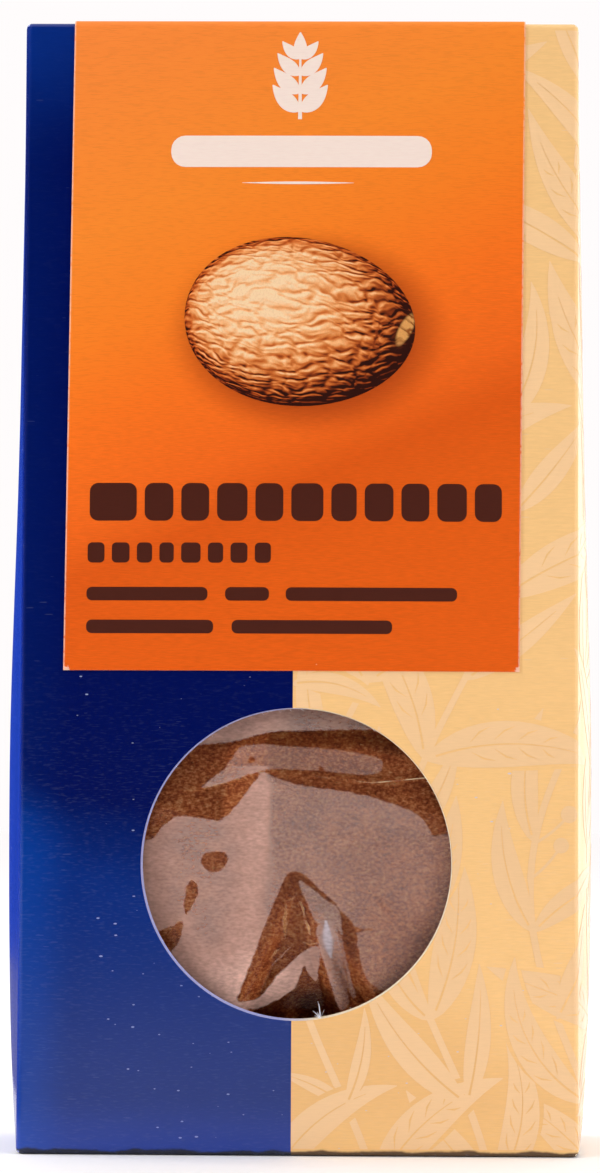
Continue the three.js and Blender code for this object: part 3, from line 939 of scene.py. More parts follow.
def printed_nut():
    """The picture of a nutmeg, offset printed: a lit oval with crinkled ridges that run along it."""
    material, add, place = new_material("printed_nut_picture")
    # The oval's own coordinates run from -1 to 1 along its long and short axes.
    centred = add("Mapping", place, (-NUT_MIDDLE[0] * MM, 0.0, -NUT_MIDDLE[1] * MM))
    turned = add("Mapping", centred, Rotation=(0.0, NUT_TILT, 0.0))
    scaled = add("Mapping", turned, Scale=(1 / (NUT_RADII[0] * MM), 0.0, 1 / (NUT_RADII[1] * MM)))
    long, short = add("SeparateXYZ", scaled), add("SeparateXYZ", scaled, out="Z")
    oval = add("CombineXYZ", long, short)
    out_squared = add("Math.POWER", add("VectorMath.LENGTH", oval), 2.0)
    facing = add("Math.SUBTRACT", 1.0, out_squared, use_clamp=True)
    depth = add("Math.POWER", facing, 0.5)
    light = Vector((-0.42, 0.31, 0.85)).normalized()
    lit = add("VectorMath.DOT_PRODUCT", add("CombineXYZ", long, short, depth), light)
    # Ridges 2 to 4 mm long and a millimetre high, drawn closer together at the nut's edge.
    rounder = add("VectorMath.SCALE", oval, add("MapRange", depth, To_Min=1.0, To_Max=0.72))
    warp = add("TexNoise", rounder, 2.3, 3.0, out="Color")
    warp_shift = add("VectorMath.SUBTRACT", warp, (0.5, 0.5, 0.5))
    warped = add("VectorMath.ADD", rounder, add("VectorMath.SCALE", warp_shift, 0.34))
    heights = []
    for shift in ((0.0, 0.0, 0.0), (-0.016, 0.026, 0.0)):
        moved = add("VectorMath.ADD", warped, shift)
        ridges = []
        for size, rise in (((4.4, 10.0, 1.0), 1.0), ((9.0, 20.0, 1.0), 0.45)):
            run = add("Mapping", moved, Scale=size)
            kind = {"feature": "DISTANCE_TO_EDGE", "voronoi_dimensions": "2D"}
            cells = add("TexVoronoi", run, 1.0, Randomness=0.95, **kind)
            ridges.append(add(RISE, cells, 0.0, 0.3, 0.0, rise))
        heights.append(add("Math.ADD", *ridges))
    slope = add("Math.SUBTRACT", *heights)
    rim = add(RISE, depth, 0.0, 0.42)
    shaded = add("Math.MULTIPLY", lit, add("MapRange", rim, To_Min=0.42, To_Max=1.0))
    creased = add("MapRange", heights[0], 0.0, 0.7, -0.12, 0.0)
    with_creases = add("Math.ADD", shaded, creased)
    # The light washes the relief out on the side that faces it.
    relief = add("MapRange", lit, 0.55, 0.95, 0.32, 0.15)
    embossed = add("Math.MULTIPLY_ADD", slope, relief, with_creases)
    tones = [(0.0, "#2E0C03"), (1.0, "#FFD8AA"), (0.2, "#8A3610"), (0.42, "#CA6628"),
             (0.6, "#E48A48"), (0.8, "#FAB578")]
    tone = add("ValToRGB", embossed, stops=tones)
    # The orange ground shines back into the nut's rim.
    rim_glow = add(RISE, depth, 0.62, 0.15, 0.0, 0.8)
    warm = add(MIX, rim_glow, tone, add("VectorMath.MULTIPLY", tone, (1.0, 0.74, 0.5)))
    # The scar at the nut's right end: a small pale knob in a dark ring.
    from_scar = add("Mapping", oval, (-0.874, -0.27, 0.0), (0.0, 0.0, 0.25))
    scar_out = add("VectorMath.LENGTH", add("Mapping", from_scar, Scale=(17.0, 5.0, 1.0)))
    ring = add(RISE, scar_out, 1.9, 1.05, 0.0, 0.6)
    knob = add(RISE, scar_out, 1.15, 0.75, 0.0, 0.85)
    scar_tone = add("ValToRGB", heights[0], stops=[(0.2, "#A05822"), (0.9, "#F0AC60")])
    scarred = add(MIX, knob, add(MIX, ring, warm, "#3A1004"), scar_tone)
    # Halftone dots, drawn 0.2 mm apart so that they show at all.
    dots = add("TexNoise", place, 5200.0, 1.0)
    bump = add("Bump", Height=dots, Strength=0.4, Distance=0.00001)
    coat(add, vary(add, scarred, dots, 0.94, 1.06), 0.55, 1.45, Normal=bump, Specular_IOR_Level=0.25)
    return material


def make_nut_picture(material, count=72):
    outline = []
    for i in range(count):
        angle = 2 * math.pi * i / count
        long = NUT_RADII[0] * math.cos(angle)
        short = NUT_RADII[1] * math.sin(angle) * (1 - NUT_BLUNT * math.cos(angle))
        x = NUT_MIDDLE[0] + long * math.cos(NUT_TILT) - short * math.sin(NUT_TILT)
        outline.append((x, NUT_MIDDLE[1] + long * math.sin(NUT_TILT) + short * math.cos(NUT_TILT)))
    columns = [-15 + 1.5 * i for i in range(21)]
    levels = [86 + 2 * i for i in range(13)]
    lay_print("label_nut_picture", "paper", [(outline, True)], columns, levels, on_label, material)


# ---- Camera, stage and light ----------------------------------------------------------------------

VIEW_MIDDLE = Vector((0.062, -13.0, 67.17)) * MM  # the place on the front that the camera looks at
VIEW_DISTANCE = 0.400
VIEW_YAW, VIEW_PITCH, VIEW_ROLL = math.radians(0.93), math.radians(3.46), math.radians(0.278)
VIEW_LENS = 103.26  # on a sensor 36 mm wide
UPRIGHT = math.pi / 2
LIGHT_AIM = Vector((0, 0, 0.07))
# Cards for the gloss to see. Dark ones stand before the front, beside the left side and at the
# crease between them, and a grey one lies on the floor and dims what the side's foot shows of it.
# Each one's size, place, turn and colour.
FRONT_CARD = {"front_card": ((0.7, 0.5), (0, -0.30, 0.25), (UPRIGHT, 0, 0), "#050505")}
SIDE_CARDS = {
    "left_card": ((0.5, 0.45), (-0.2, 0.34, 0.225), (UPRIGHT, 0, math.radians(27)), "#2446A8"),
    "crease_card": ((1.1, 0.8), (-0.7, -0.13, 0.4), (UPRIGHT, 0, math.pi / 2), "#050505"),
    "low_card": ((0.5, 0.5), (-0.3, 0.16, 0.002), (0, 0, 0), "#75758C"),
}
# Softboxes: each one's place, size and power.
SOFTBOXES = {
    "left_box": ((-0.62, -0.46, 0.34), (0.35, 0.35), 3.4),
    "right_box": ((0.62, -0.46, 0.34), (0.35, 0.35), 2.9),
    "left_side_box": ((-0.62, 0.1, 0.16), (0.3, 0.4), 3.6),
    "right_rim_box": ((0.34, 0.5, 0.16), (0.3, 0.4), 0.27),
    "top_box": ((0.0, -0.4, 0.9), (0.6, 0.6), 2.0),
}
SEEN_IN_GLOSS = ("right_rim_box",)


def make_camera():
    """The photo's view: nearly level and square on, from 40 cm, looking up a little."""
    level_run, rise = math.cos(VIEW_PITCH), math.sin(VIEW_PITCH)
    forward = Vector((-math.sin(VIEW_YAW) * level_run, math.cos(VIEW_YAW) * level_run, rise))
    level = Vector((math.cos(VIEW_YAW), math.sin(VIEW_YAW), 0))
    upward = level.cross(forward)
    right = level * math.cos(VIEW_ROLL) + upward * math.sin(VIEW_ROLL)
    up = -level * math.sin(VIEW_ROLL) + upward * math.cos(VIEW_ROLL)
    data = bpy.data.cameras.new("camera")
    data.sensor_width = 36
    data.lens = VIEW_LENS
    camera = link_piece("camera", data)
    turn = Matrix((right, up, -forward)).transposed().to_4x4()
    camera.matrix_world = Matrix.Translation(VIEW_MIDDLE - forward * VIEW_DISTANCE) @ turn
    bpy.context.scene.camera = camera


def stage_plane(name, size, location, rotation, code, roughness=1.0):
    bpy.ops.object.select_all(action="DESELECT")
    bpy.ops.mesh.primitive_plane_add(size=1, location=location, rotation=rotation)
    plane = bpy.context.object
    plane.name = name
    plane.scale = (*size, 1)
    material, add, _ = new_material(name)
    add("OutputMaterial", add("BsdfPrincipled", Base_Color=code, Roughness=roughness))
    plane.data.materials.append(material)
    return plane


def area_light(name, location, size, power):
    """A softbox aimed at the carton."""
    data = bpy.data.lights.new(name, "AREA")
    data.shape = "RECTANGLE"
    data.size, data.size_y = size
    data.energy = power
    light = link_piece(name, data)
    light.location = location
    light.rotation_euler = (LIGHT_AIM - Vector(location)).to_track_quat("-Z", "Y").to_euler()
    light.visible_camera = False
    light.visible_glossy = name in SEEN_IN_GLOSS


def make_stage():
    world = bpy.data.worlds.new("white_room")
    world.use_nodes = True
    background = world.node_tree.nodes["Background"]
    background.inputs["Color"].default_value = colour("#FFFCFC")
    background.inputs["Strength"].default_value = 1.0
    bpy.context.scene.world = world
    stage_plane("pale_floor", (6, 6), (0, 0, 0), (0, 0, 0), "#FDFCFC", 0.7)
    for name, card in (FRONT_CARD | SIDE_CARDS).items():
        plane = stage_plane(name, *card)
        plane.visible_camera = False
        if name in SIDE_CARDS:
            plane.visible_diffuse = False
            plane.visible_shadow = False
    for name, softbox in SOFTBOXES.items():
        area_light(name, *softbox)
    bpy.context.scene.view_settings.view_transform = "Standard"


# ---- Film bag and powder, in millimetres from the window's middle where u and v are named ------------

# The film is drawn forward to one peak, with flats that fall away from it on all sides.
PEAK_U, PEAK_V, PEAK_FORWARD = -3.9, 10.9, 0.25
KNEE_U, KNEE_V = -9.0, 5.4
POCKET_U, POCKET_V = -0.24, -0.8  # a pocket opens downwards from here, between two legs
POCKET_LEFT_LEAN, POCKET_RIGHT_LEAN = -0.41, 0.66  # sideways run for each millimetre down
POCKET_LEG, POCKET_GROWTH, POCKET_MOST = 2.4, 0.16, 1.9
FOLDS_END = 6  # beyond the window's edge the film lies flat from here on
# Ridges of the film: both ends, how far each rises and how far it reaches aside.
PLEAT = ((0.6, -2.6), (5.6, -18.5), 1.1, 1.6)
LOBE = ((3.0, -9.0), (-7.0, -18.0), 0.7, 2.6)
CREST = ((-12.5, 14.2), (14.0, 12.6), 0.3, 2.2)
RIDGE_GROWN = 0.6  # the share of its length after which a ridge is at its full height
# A hair crease runs across the film above the peak: its height at places along u.
CREASE_ROUTE = (
    (-12, 8.6), (-8.1, 9.6), (-3.9, 10.9), (1.5, 10.4), (8.9, 9.6), (15.0, 10.2), (19, 10.8),
)
CREASE_RISE = 0.05
CREASE_REACH = 0.3
FILM_RIPPLE = 0.05
GRAIN_RISE = 0.05
LUMP_RISE = 0.05
RIPPLES, GRAINS, LUMPS = 0.32, 2.4, 0.5  # how many of each to the millimetre
HOLLOW = (1.9, -17.9, 3.4, 2.4, 5.0)  # under the fold: its middle, its two reaches and its depth


def film_flat(u0, v0, forward, right, up):
    return lambda u, v: forward + right * (u - u0) + up * (v - v0)


LOWER_LEFT, LOWER_RIGHT, UPPER_RIGHT, UPPER_LEFT = (
    film_flat(PEAK_U, PEAK_V, PEAK_FORWARD, *falls)
    for falls in ((0.05, 0.07), (-0.005, 0.065), (-0.043, -0.1), (0.234, -0.1))
)
FAR_LEFT = film_flat(KNEE_U, KNEE_V, LOWER_LEFT(KNEE_U, KNEE_V), 0.02, -0.09)


def tent(u, v):
    left = max(UPPER_LEFT(u, v), FAR_LEFT(u, v))
    return min(LOWER_LEFT(u, v), LOWER_RIGHT(u, v), UPPER_RIGHT(u, v), left)


def pocket(u, v):
    down = POCKET_V - v
    if down <= 0:
        return 0
    from_left = u - (POCKET_U + POCKET_LEFT_LEAN * down)
    from_right = POCKET_U + POCKET_RIGHT_LEAN * down - u
    inside = smoothstep(from_left, 0, POCKET_LEG) * smoothstep(from_right, 0, POCKET_LEG)
    return min(POCKET_MOST, POCKET_GROWTH * down) * inside


def ridge(u, v, start, end, rise, reach):
    run = (end[0] - start[0], end[1] - start[1])
    length = math.hypot(*run)
    along = ((u - start[0]) * run[0] + (v - start[1]) * run[1]) / length
    aside = abs((u - start[0]) * run[1] - (v - start[1]) * run[0]) / length
    return rise * smoothstep(along, 0, length * RIDGE_GROWN) * max(0, 1 - aside / reach)


def crease_offset(u, v):
    """How far a point is above the hair crease."""
    return v - float(np.interp(u, *zip(*CREASE_ROUTE)))


def film_forward(x, z):
    """How far the film stands in front of its resting place."""
    u, v = from_window(x, z)
    out = math.hypot(u, v)
    if out > WINDOW_RADIUS + FOLDS_END:
        return 0.0
    shown = 1 - smoothstep(out, WINDOW_RADIUS + 1, WINDOW_RADIUS + FOLDS_END)
    ridges = ridge(u, v, *PLEAT) + ridge(u, v, *LOBE) + ridge(u, v, *CREST)
    ridges += CREASE_RISE * math.exp(-((crease_offset(u, v) / CREASE_REACH) ** 2))
    return shown * (tent(u, v) - pocket(u, v) + ridges)


def film_ripple(x, z):
    return FILM_RIPPLE * noise.noise(Vector((x * RIPPLES, z * RIPPLES, 0.0)))


def powder_surface(x, z):
    """Where the powder's front is, behind the film."""
    grains = noise.noise(Vector((x * GRAINS, z * GRAINS, 3.0)))
    lumps = noise.noise(Vector((x * LUMPS, z * LUMPS, 9.0)))
    plane = HALF_DEPTH - BAG_INSET - POWDER_GAP + face_swell(x, z)
    relief = GRAIN_RISE * grains + LUMP_RISE * (lumps - 0.5)
    u, v = from_window(x, z)
    sunk = math.exp(-(((u - HOLLOW[0]) / HOLLOW[2]) ** 2) - ((v - HOLLOW[1]) / HOLLOW[3]) ** 2)
    return -(plane + film_forward(x, z) + film_ripple(x, z) + relief - HOLLOW[4] * sunk)


# A pale veil, a painted reflection laid on as dust, where the film stands off the powder: their outlines.
VEIL = [
    [(-14, 13.9), (-11.1, 14.1), (-7.6, 14.4), (-4.2, 15.3), (-0.6, 15.7), (8.8, 15.9), (14, 16),
     (12, 24), (-13, 24)],
    [(-11.3, 8.9), (-8.4, 11.5), (-6.9, 13.6), (-4.6, 14.1), (0.5, 13.8), (5.5, 13.4), (9.6, 12.5),
     (10.2, 11.5), (9.1, 10.6), (5.5, 10.7), (0.5, 11.1), (-3.6, 11.1), (-7.6, 9.8)],
    [(-24, 1.5), (-17.6, 2.7), (-15.9, 4.4), (-13.9, 5.6), (-10.4, 5.2), (-8.7, 5.3), (-6.6, 7.6),
     (-4.6, 10.3), (-3.9, 10.8), (-2.8, 10.3), (0.5, 9.3), (4.3, 8.8), (8.6, 8.0), (12.4, 6.8),
     (14.7, 5.5), (15.9, 3.9), (16.9, 3.4), (24, 3.2), (24, -24), (-24, -24)],
]
CLEARED = [
    [(-6.9, -16.2), (-6.6, -15.0), (-5.2, -11.4), (-3.7, -7.4), (-2.5, -4.4), (-1.3, -1.6),
     (-0.3, -0.9), (0.9, -1.3), (3.1, -3.3), (5.0, -5.1), (6.9, -7.5), (7.4, -10.3), (8.4, -13.6),
     (10.7, -15.1), (15, -16.5), (12, -24), (-4, -24), (-5.6, -17.4)],
    [(-5.9, 12.1), (-5.4, 11.9), (-4.9, 12.3), (-5.4, 12.6)],
    [(2.5, 11.3), (2.8, 10.9), (3.1, 11.3), (2.8, 11.6)],
    [(-11.3, 0.3), (-10.9, -0.5), (-10.0, -1.0), (-8.8, -0.6), (-8.1, 0.4), (-8.6, 1.2),
     (-9.7, 1.4), (-10.8, 1.1)],
    [(-12.5, -2.0), (-11.7, -2.7), (-11.8, -3.9), (-12.5, -5.2), (-13.1, -6.1), (-13.3, -5.2),
     (-13.1, -3.4)],
    [(-17.4, -9.4), (-15.9, -8.0), (-14.7, -7.5), (-13.5, -6.8), (-13.7, -8.2), (-14.3, -9.8),
     (-16.2, -11.6)],
    [(6.2, -7.2), (7.6, -7.62), (9.0, -7.72), (7.6, -7.95), (6.6, -8.2)],
]
VEIL_IN_POCKET = [
    [(0.3, -2.1), (2.0, -3.0), (3.6, -4.3), (4.9, -5.2), (5.5, -8.3), (4.4, -7.3), (2.5, -7.0),
     (1.2, -4.4)],
    [(2.5, -7.4), (3.6, -6.9), (4.8, -7.4), (5.2, -9.6), (6.1, -14.6), (6.2, -16.6), (5.3, -17.3),
     (4.3, -14.9), (3.2, -11.6), (2.6, -9.6)],
    [(5.2, -8.4), (5.9, -10.9), (6.6, -13.9), (7.0, -15.6), (6.5, -15.6), (6.0, -13.1),
     (5.5, -10.9)],
    [(2.7, -9.9), (1.3, -10.1), (-0.4, -11.5), (-2.2, -13.2), (-4.4, -15.9), (-6.9, -16.4),
     (-5.4, -17.3), (-3.4, -16.8), (-0.9, -15.4), (0.1, -14.4), (0.9, -12.2), (1.6, -13.4),
     (2.4, -13.9), (2.7, -12.0)],
]
# Painted highlights on the film's folds, white, or golden as painted glints: each one's route, its half
# # width at its middle, how strongly it shows, and how golden it is.
FOLD_HIGHLIGHTS = [
    (((3.5, -6.8), (3.65, -8.4), (3.8, -9.6), (4.1, -11.0)), 1.3, 0.62, 0.0),
    (((3.9, -7.3), (4.4, -7.9), (4.8, -8.7), (5.3, -10.2), (5.8, -12.4)), 0.2, 0.34, 0.0),
    (((-1.2, -4.9), (-1.4, -6.8), (-1.3, -9.0)), 0.36, 0.3, 1.0),
    (((0.35, -4.4), (0.8, -5.3), (0.95, -6.3)), 0.22, 0.5, 1.0),
    (((1.0, -6.6), (1.45, -7.5), (1.65, -8.5)), 0.22, 0.55, 1.0),
    (((-1.9, -10.0), (-2.5, -10.5), (-3.0, -11.2)), 0.2, 0.4, 1.0),
    (((-0.2, -9.4), (-1.7, -10.9), (-3.4, -12.6)), 0.18, 0.26, 0.4),
    (((0.4, -9.2), (1.6, -9.55), (2.7, -9.3)), 0.17, 0.28, 1.0),
    (((-1.2, -4.4), (-0.5, -4.2), (0.1, -3.4)), 0.16, 0.26, 1.0),
]
# The veil is painted thickest along the film's ridge, as a painted highlight: where the ridge is at places
# down from the peak.
RIDGE_ROUTE = ((-14, -6.4), (-11.4, -6.0), (1.6, -4.0), (9.0, -3.6), (10.9, -3.9))
FAR_OUT = -5.0  # stands for a place that is far outside an outline


def smooth_loop(points, each=5):
    """A closed smooth curve through the points."""
    knots = np.array(points, float)
    before, after, beyond = (np.roll(knots, shift, axis=0) for shift in (1, -1, -2))
    linear = after - before
    square = 2 * before - 5 * knots + 4 * after - beyond
    cube = 3 * knots - before - 3 * after + beyond
    curve = [0.5 * (2 * knots + linear * t + square * t**2 + cube * t**3) for t in np.arange(each) / each]
    return np.stack(curve, axis=1).reshape(-1, 2)


def signed_distance(places, outline):
    """How far each place is inside an outline, negative outside."""
    loop = smooth_loop(outline)
    ends = np.roll(loop, -1, axis=0)
    runs = ends - loop
    offsets = places[:, None, :] - loop[None, :, :]
    share = (offsets * runs).sum(2) / np.maximum((runs**2).sum(1), 1e-12)
    nearest = offsets - share.clip(0, 1)[:, :, None] * runs
    distance = np.sqrt((nearest**2).sum(2).min(1))
    above = loop[None, :, 1] > places[:, 1:2]
    crosses = above != (ends[None, :, 1] > places[:, 1:2])
    rise = np.where(np.abs(runs[:, 1]) < 1e-12, 1e-12, runs[:, 1])
    meets = loop[None, :, 0] + (places[:, 1:2] - loop[None, :, 1]) / rise * runs[None, :, 0]
    inside = ((crosses & (meets > places[:, 0:1])).sum(1) % 2).astype(bool)
    return np.where(inside, distance, -distance)


def veil_edge(places):
    """How far each place is inside the veil, negative where the film lies on the powder."""
    veil, cleared, in_pocket = (
        [signed_distance(places, outline) for outline in outlines]
        for outlines in (VEIL, CLEARED, VEIL_IN_POCKET)
    )
    edge = np.minimum(np.max(veil, axis=0), -np.max(cleared, axis=0))
    return np.maximum(edge, np.max(in_pocket, axis=0))


def fold_highlights(places):
    """For each place, how near it is to a painted fold highlight's middle, and how that highlight
    shows. It is 1 in the middle and 0 at the highlight's edge."""
    inside = np.full(len(places), FAR_OUT)
    strength, golden = np.zeros((2, len(places)))
    rows = np.arange(len(places))
    for route, half_width, shows, gold in FOLD_HIGHLIGHTS:
        starts, ends = np.array(route[:-1]), np.array(route[1:])
        runs = ends - starts
        offsets = places[:, None, :] - starts[None]
        share = ((offsets * runs).sum(2) / (runs**2).sum(1)).clip(0, 1)
        distance = np.sqrt(((offsets - share[:, :, None] * runs) ** 2).sum(2))
        nearest = distance.argmin(1)
        along = (nearest + share[rows, nearest]) / len(runs)
        tapered = half_width * (0.25 + 0.75 * np.sin(np.pi * along.clip(0.02, 0.98)))
        room = 1 - distance[rows, nearest] / tapered
        closer = room > inside
        inside = np.where(closer, room, inside)
        strength = np.where(closer, shows, strength)
        golden = np.where(closer, gold, golden)
    return inside, strength, golden


def veil_depth(places):
    """The share of what is behind that the painted veil hides. It is painted thicker along the
    ridge, at the fold and on the lobe as painted highlights, thinner in a dim streak right of the fold,
    and thicker near the rim on the left and at the window's head as painted light against the rim's shade.
    """
    u, v = places.T
    aside = u - np.interp(v, *zip(*RIDGE_ROUTE))
    sharp = np.interp(v, (-8, 4), (2.5, 0.7))
    band = np.where(aside < 0, np.exp(-((aside / 4.4) ** 2)), np.exp(-((aside / sharp) ** 2)))
    left = np.clip((-u - 2) / 10, 0, 1)
    head = np.interp(v, (9, 11, 14, 15), (0, -0.12, -0.12, 0.05))
    crest = np.interp(v, (-14, -2, 6, 11), (0.15, 0.16, 0.22, 0.22))
    right = np.clip((u - 2) / 6, 0, 1) * np.clip((6 - v) / 4, 0, 1)
    fold = np.exp(-(((u - 3.6) / 1.0) ** 2 + ((v + 8.6) / 2.2) ** 2))
    lobe = np.exp(-(((u + 2.5) / 5.0) ** 2 + ((v + 14.0) / 3.5) ** 2))
    right_foot = np.clip((u - 7) / 5, 0, 1) * np.clip((-v - 3) / 5, 0, 1)
    dim_streak = np.exp(-(((u - 10.4 + 0.9 * (v + 5)) / 0.5) ** 2 + ((v + 5.0) / 1.2) ** 2))
    # Painted light against the rim's shade: the veil thickens near the rim on the left.
    near_rim = np.clip((np.hypot(u, v) - 13.5) / 4.5, 0, 1) * np.clip((1 - u) / 6, 0, 1)
    depth = 0.27 + crest * band * (v < 11.5) + 0.05 * left + head - 0.05 * right + 0.14 * near_rim
    return 1.1 * (depth + 0.12 * fold + 0.42 * lobe - 0.05 * right_foot - 0.08 * dim_streak)


FILM_ATTRIBUTES = (
    "veil_edge", "veil_depth", "crease_offset", "fold_inside", "fold_strength", "fold_golden",
)
WINDOW_REACH = 19.6  # half the side of the square that is finely divided over the window
FOLDS_LOW, FOLDS_HIGH = (-8.5, -18.4), (9.5, -0.2)  # the part of it where the small folds are
FILM_CUTS, POWDER_CUTS = 11, 12  # cuts to each side of a face there, made twice


def on_front(face):
    return face.normal.y < -0.99


def over_width(face):
    """True for the front's middle strip, as wide as the window's square."""
    return on_front(face) and abs(face.center.x - WINDOW_X) < WINDOW_REACH


def over_window(face):
    return over_width(face) and abs(face.center.z - WINDOW_Z) < WINDOW_REACH


def off_window(face):
    return not over_window(face)


def over_folds(face):
    """True for the part of the front where the film's small folds are."""
    u, v = from_window(face.center.x, face.center.z)
    inside = FOLDS_LOW[0] < u < FOLDS_HIGH[0] and FOLDS_LOW[1] < v < FOLDS_HIGH[1]
    return on_front(face) and inside


def pillow(name, inset, cuts, finer=None):
    """A closed cushion inside the carton, its front divided by two rounds of cuts over the window."""
    clear_z = BAG_LOW_Z + inset - BAG_INSET
    size = (2 * (HALF_WIDTH - inset), 2 * (HALF_DEPTH - inset), HEIGHT - 2 * clear_z)
    piece = start_piece(name, CUBE, size, size=1, location=(0, 0, HEIGHT / 2))
    work(piece, "EDGE", everywhere, bpy.ops.mesh.bevel, offset=BAG_ROUND, segments=5, affect="EDGES")
    slice_at(piece, 0, (WINDOW_X - WINDOW_REACH, WINDOW_X + WINDOW_REACH), on_front)
    slice_at(piece, 2, (WINDOW_Z - WINDOW_REACH, WINDOW_Z + WINDOW_REACH), over_width)
    for _ in range(2):
        work(piece, "FACE", over_window, bpy.ops.mesh.subdivide, number_cuts=cuts)
    if finer:
        work(piece, "FACE", finer, bpy.ops.mesh.subdivide, number_cuts=1)
    for axis, places in enumerate((steps(-28, 28, 7), steps(-8, 8, 4), steps(6, HEIGHT - 6, 8))):
        slice_at(piece, axis, places, off_window)
    return piece


def shape_front(piece, inset, front):
    """Swells a cushion, moves its front where the given rule says, and gives each vertex's place
    from the window's middle, and whether it is on the front there."""
    swell_walls(piece, inset)
    flat = -(HALF_DEPTH - inset) + 1e-3
    for vertex in piece.data.vertices:
        x, y, z = vertex.co
        if y < flat:
            vertex.co.y = front(x, y, z)
    co = np.array([vertex.co for vertex in piece.data.vertices], float)
    places = co[:, [0, 2]] - (WINDOW_X, WINDOW_Z)
    return places, (co[:, 1] < 0) & (np.abs(places).max(1) < WINDOW_REACH + 0.01)


def where_shown(shown, values, otherwise):
    """Values on the front over the window, and another value elsewhere."""
    everywhere_else = np.full(len(shown), otherwise)
    everywhere_else[shown] = values
    return everywhere_else


def make_film(material):
    piece = pillow("film_bag", BAG_INSET, FILM_CUTS, over_folds)

    def front(x, y, z):
        return y - (film_forward(x, z) + film_ripple(x, z))

    places, shown = shape_front(piece, BAG_INSET, front)
    inside, strength, golden = fold_highlights(places)
    write_attributes(
        piece,
        fold_inside=np.where(shown, inside, FAR_OUT),
        fold_strength=strength,
        fold_golden=golden,
        veil_edge=where_shown(shown, veil_edge(places[shown]), FAR_OUT),
        veil_depth=where_shown(shown, veil_depth(places[shown]), 0.0),
        crease_offset=[crease_offset(u, v) for u, v in places],
    )
    return finish_piece(piece, [material], smooth=60, replaced=["bag"])


def make_powder(material):
    inset = BAG_INSET + POWDER_GAP
    piece = pillow("ground_nutmeg", inset, POWDER_CUTS)
    places, shown = shape_front(piece, inset, lambda x, y, z: powder_surface(x, z))
    at_fold = signed_distance(places[shown], CLEARED[0])
    write_attributes(piece, pressed_inside=where_shown(shown, at_fold, FAR_OUT))
    return finish_piece(piece, [material], smooth=180)


GRAIN_COUNT = 2600
GRAIN_RADII = (0.05, 0.12)
GRAIN_SUNK = 0.035  # a grain's middle lies this far behind the powder's surface
GRAINS_OUT = WINDOW_RADIUS + 0.6


def random_turn():
    """A random turn about a random direction."""
    turn = random.uniform(0, math.tau)
    angle, height = random.uniform(0, math.tau), random.uniform(-1, 1)
    level = math.sqrt(1 - height * height)
    return Matrix.Rotation(turn, 3, Vector((level * math.cos(angle), level * math.sin(angle), height)))


def make_grains(material):
    """Coarser grains of the nutmeg, half sunk in the powder behind the window: copies of one small
    lump, each turned and sized, joined in one piece."""
    grain = start_piece("grain", bpy.ops.mesh.primitive_ico_sphere_add, subdivisions=1, radius=1)
    for vertex in grain.data.vertices:
        vertex.co *= random.uniform(0.75, 1.1)
    spread = []
    while len(spread) < GRAIN_COUNT:
        x = WINDOW_X + random.uniform(-1, 1) * GRAINS_OUT
        z = WINDOW_Z + random.uniform(-1, 1) * GRAINS_OUT
        if math.hypot(*from_window(x, z)) > GRAINS_OUT:
            continue
        size = GRAIN_RADII[0] + (GRAIN_RADII[1] - GRAIN_RADII[0]) * random.random() ** 2
        spread.append(((x, powder_surface(x, z) + GRAIN_SUNK, z), size))
    lump = np.array([vertex.co for vertex in grain.data.vertices])
    lump_faces = [list(face.vertices) for face in grain.data.polygons]
    points, faces = [], []
    for i, (place, size) in enumerate(spread):
        turn = np.array(random_turn())
        stretched = lump * np.array([random.uniform(0.7, 1.0), random.uniform(0.7, 1.0), 1])
        points.append(stretched @ turn * size + np.array(place))
        faces += [[i * len(lump) + corner for corner in face] for face in lump_faces]
    bpy.data.objects.remove(grain)
    mesh = bpy.data.meshes.new("nutmeg_grains")
    mesh.from_pydata(np.concatenate(points).tolist(), [], faces)
    return finish_piece(link_piece("nutmeg_grains", mesh), [material], smooth=50)


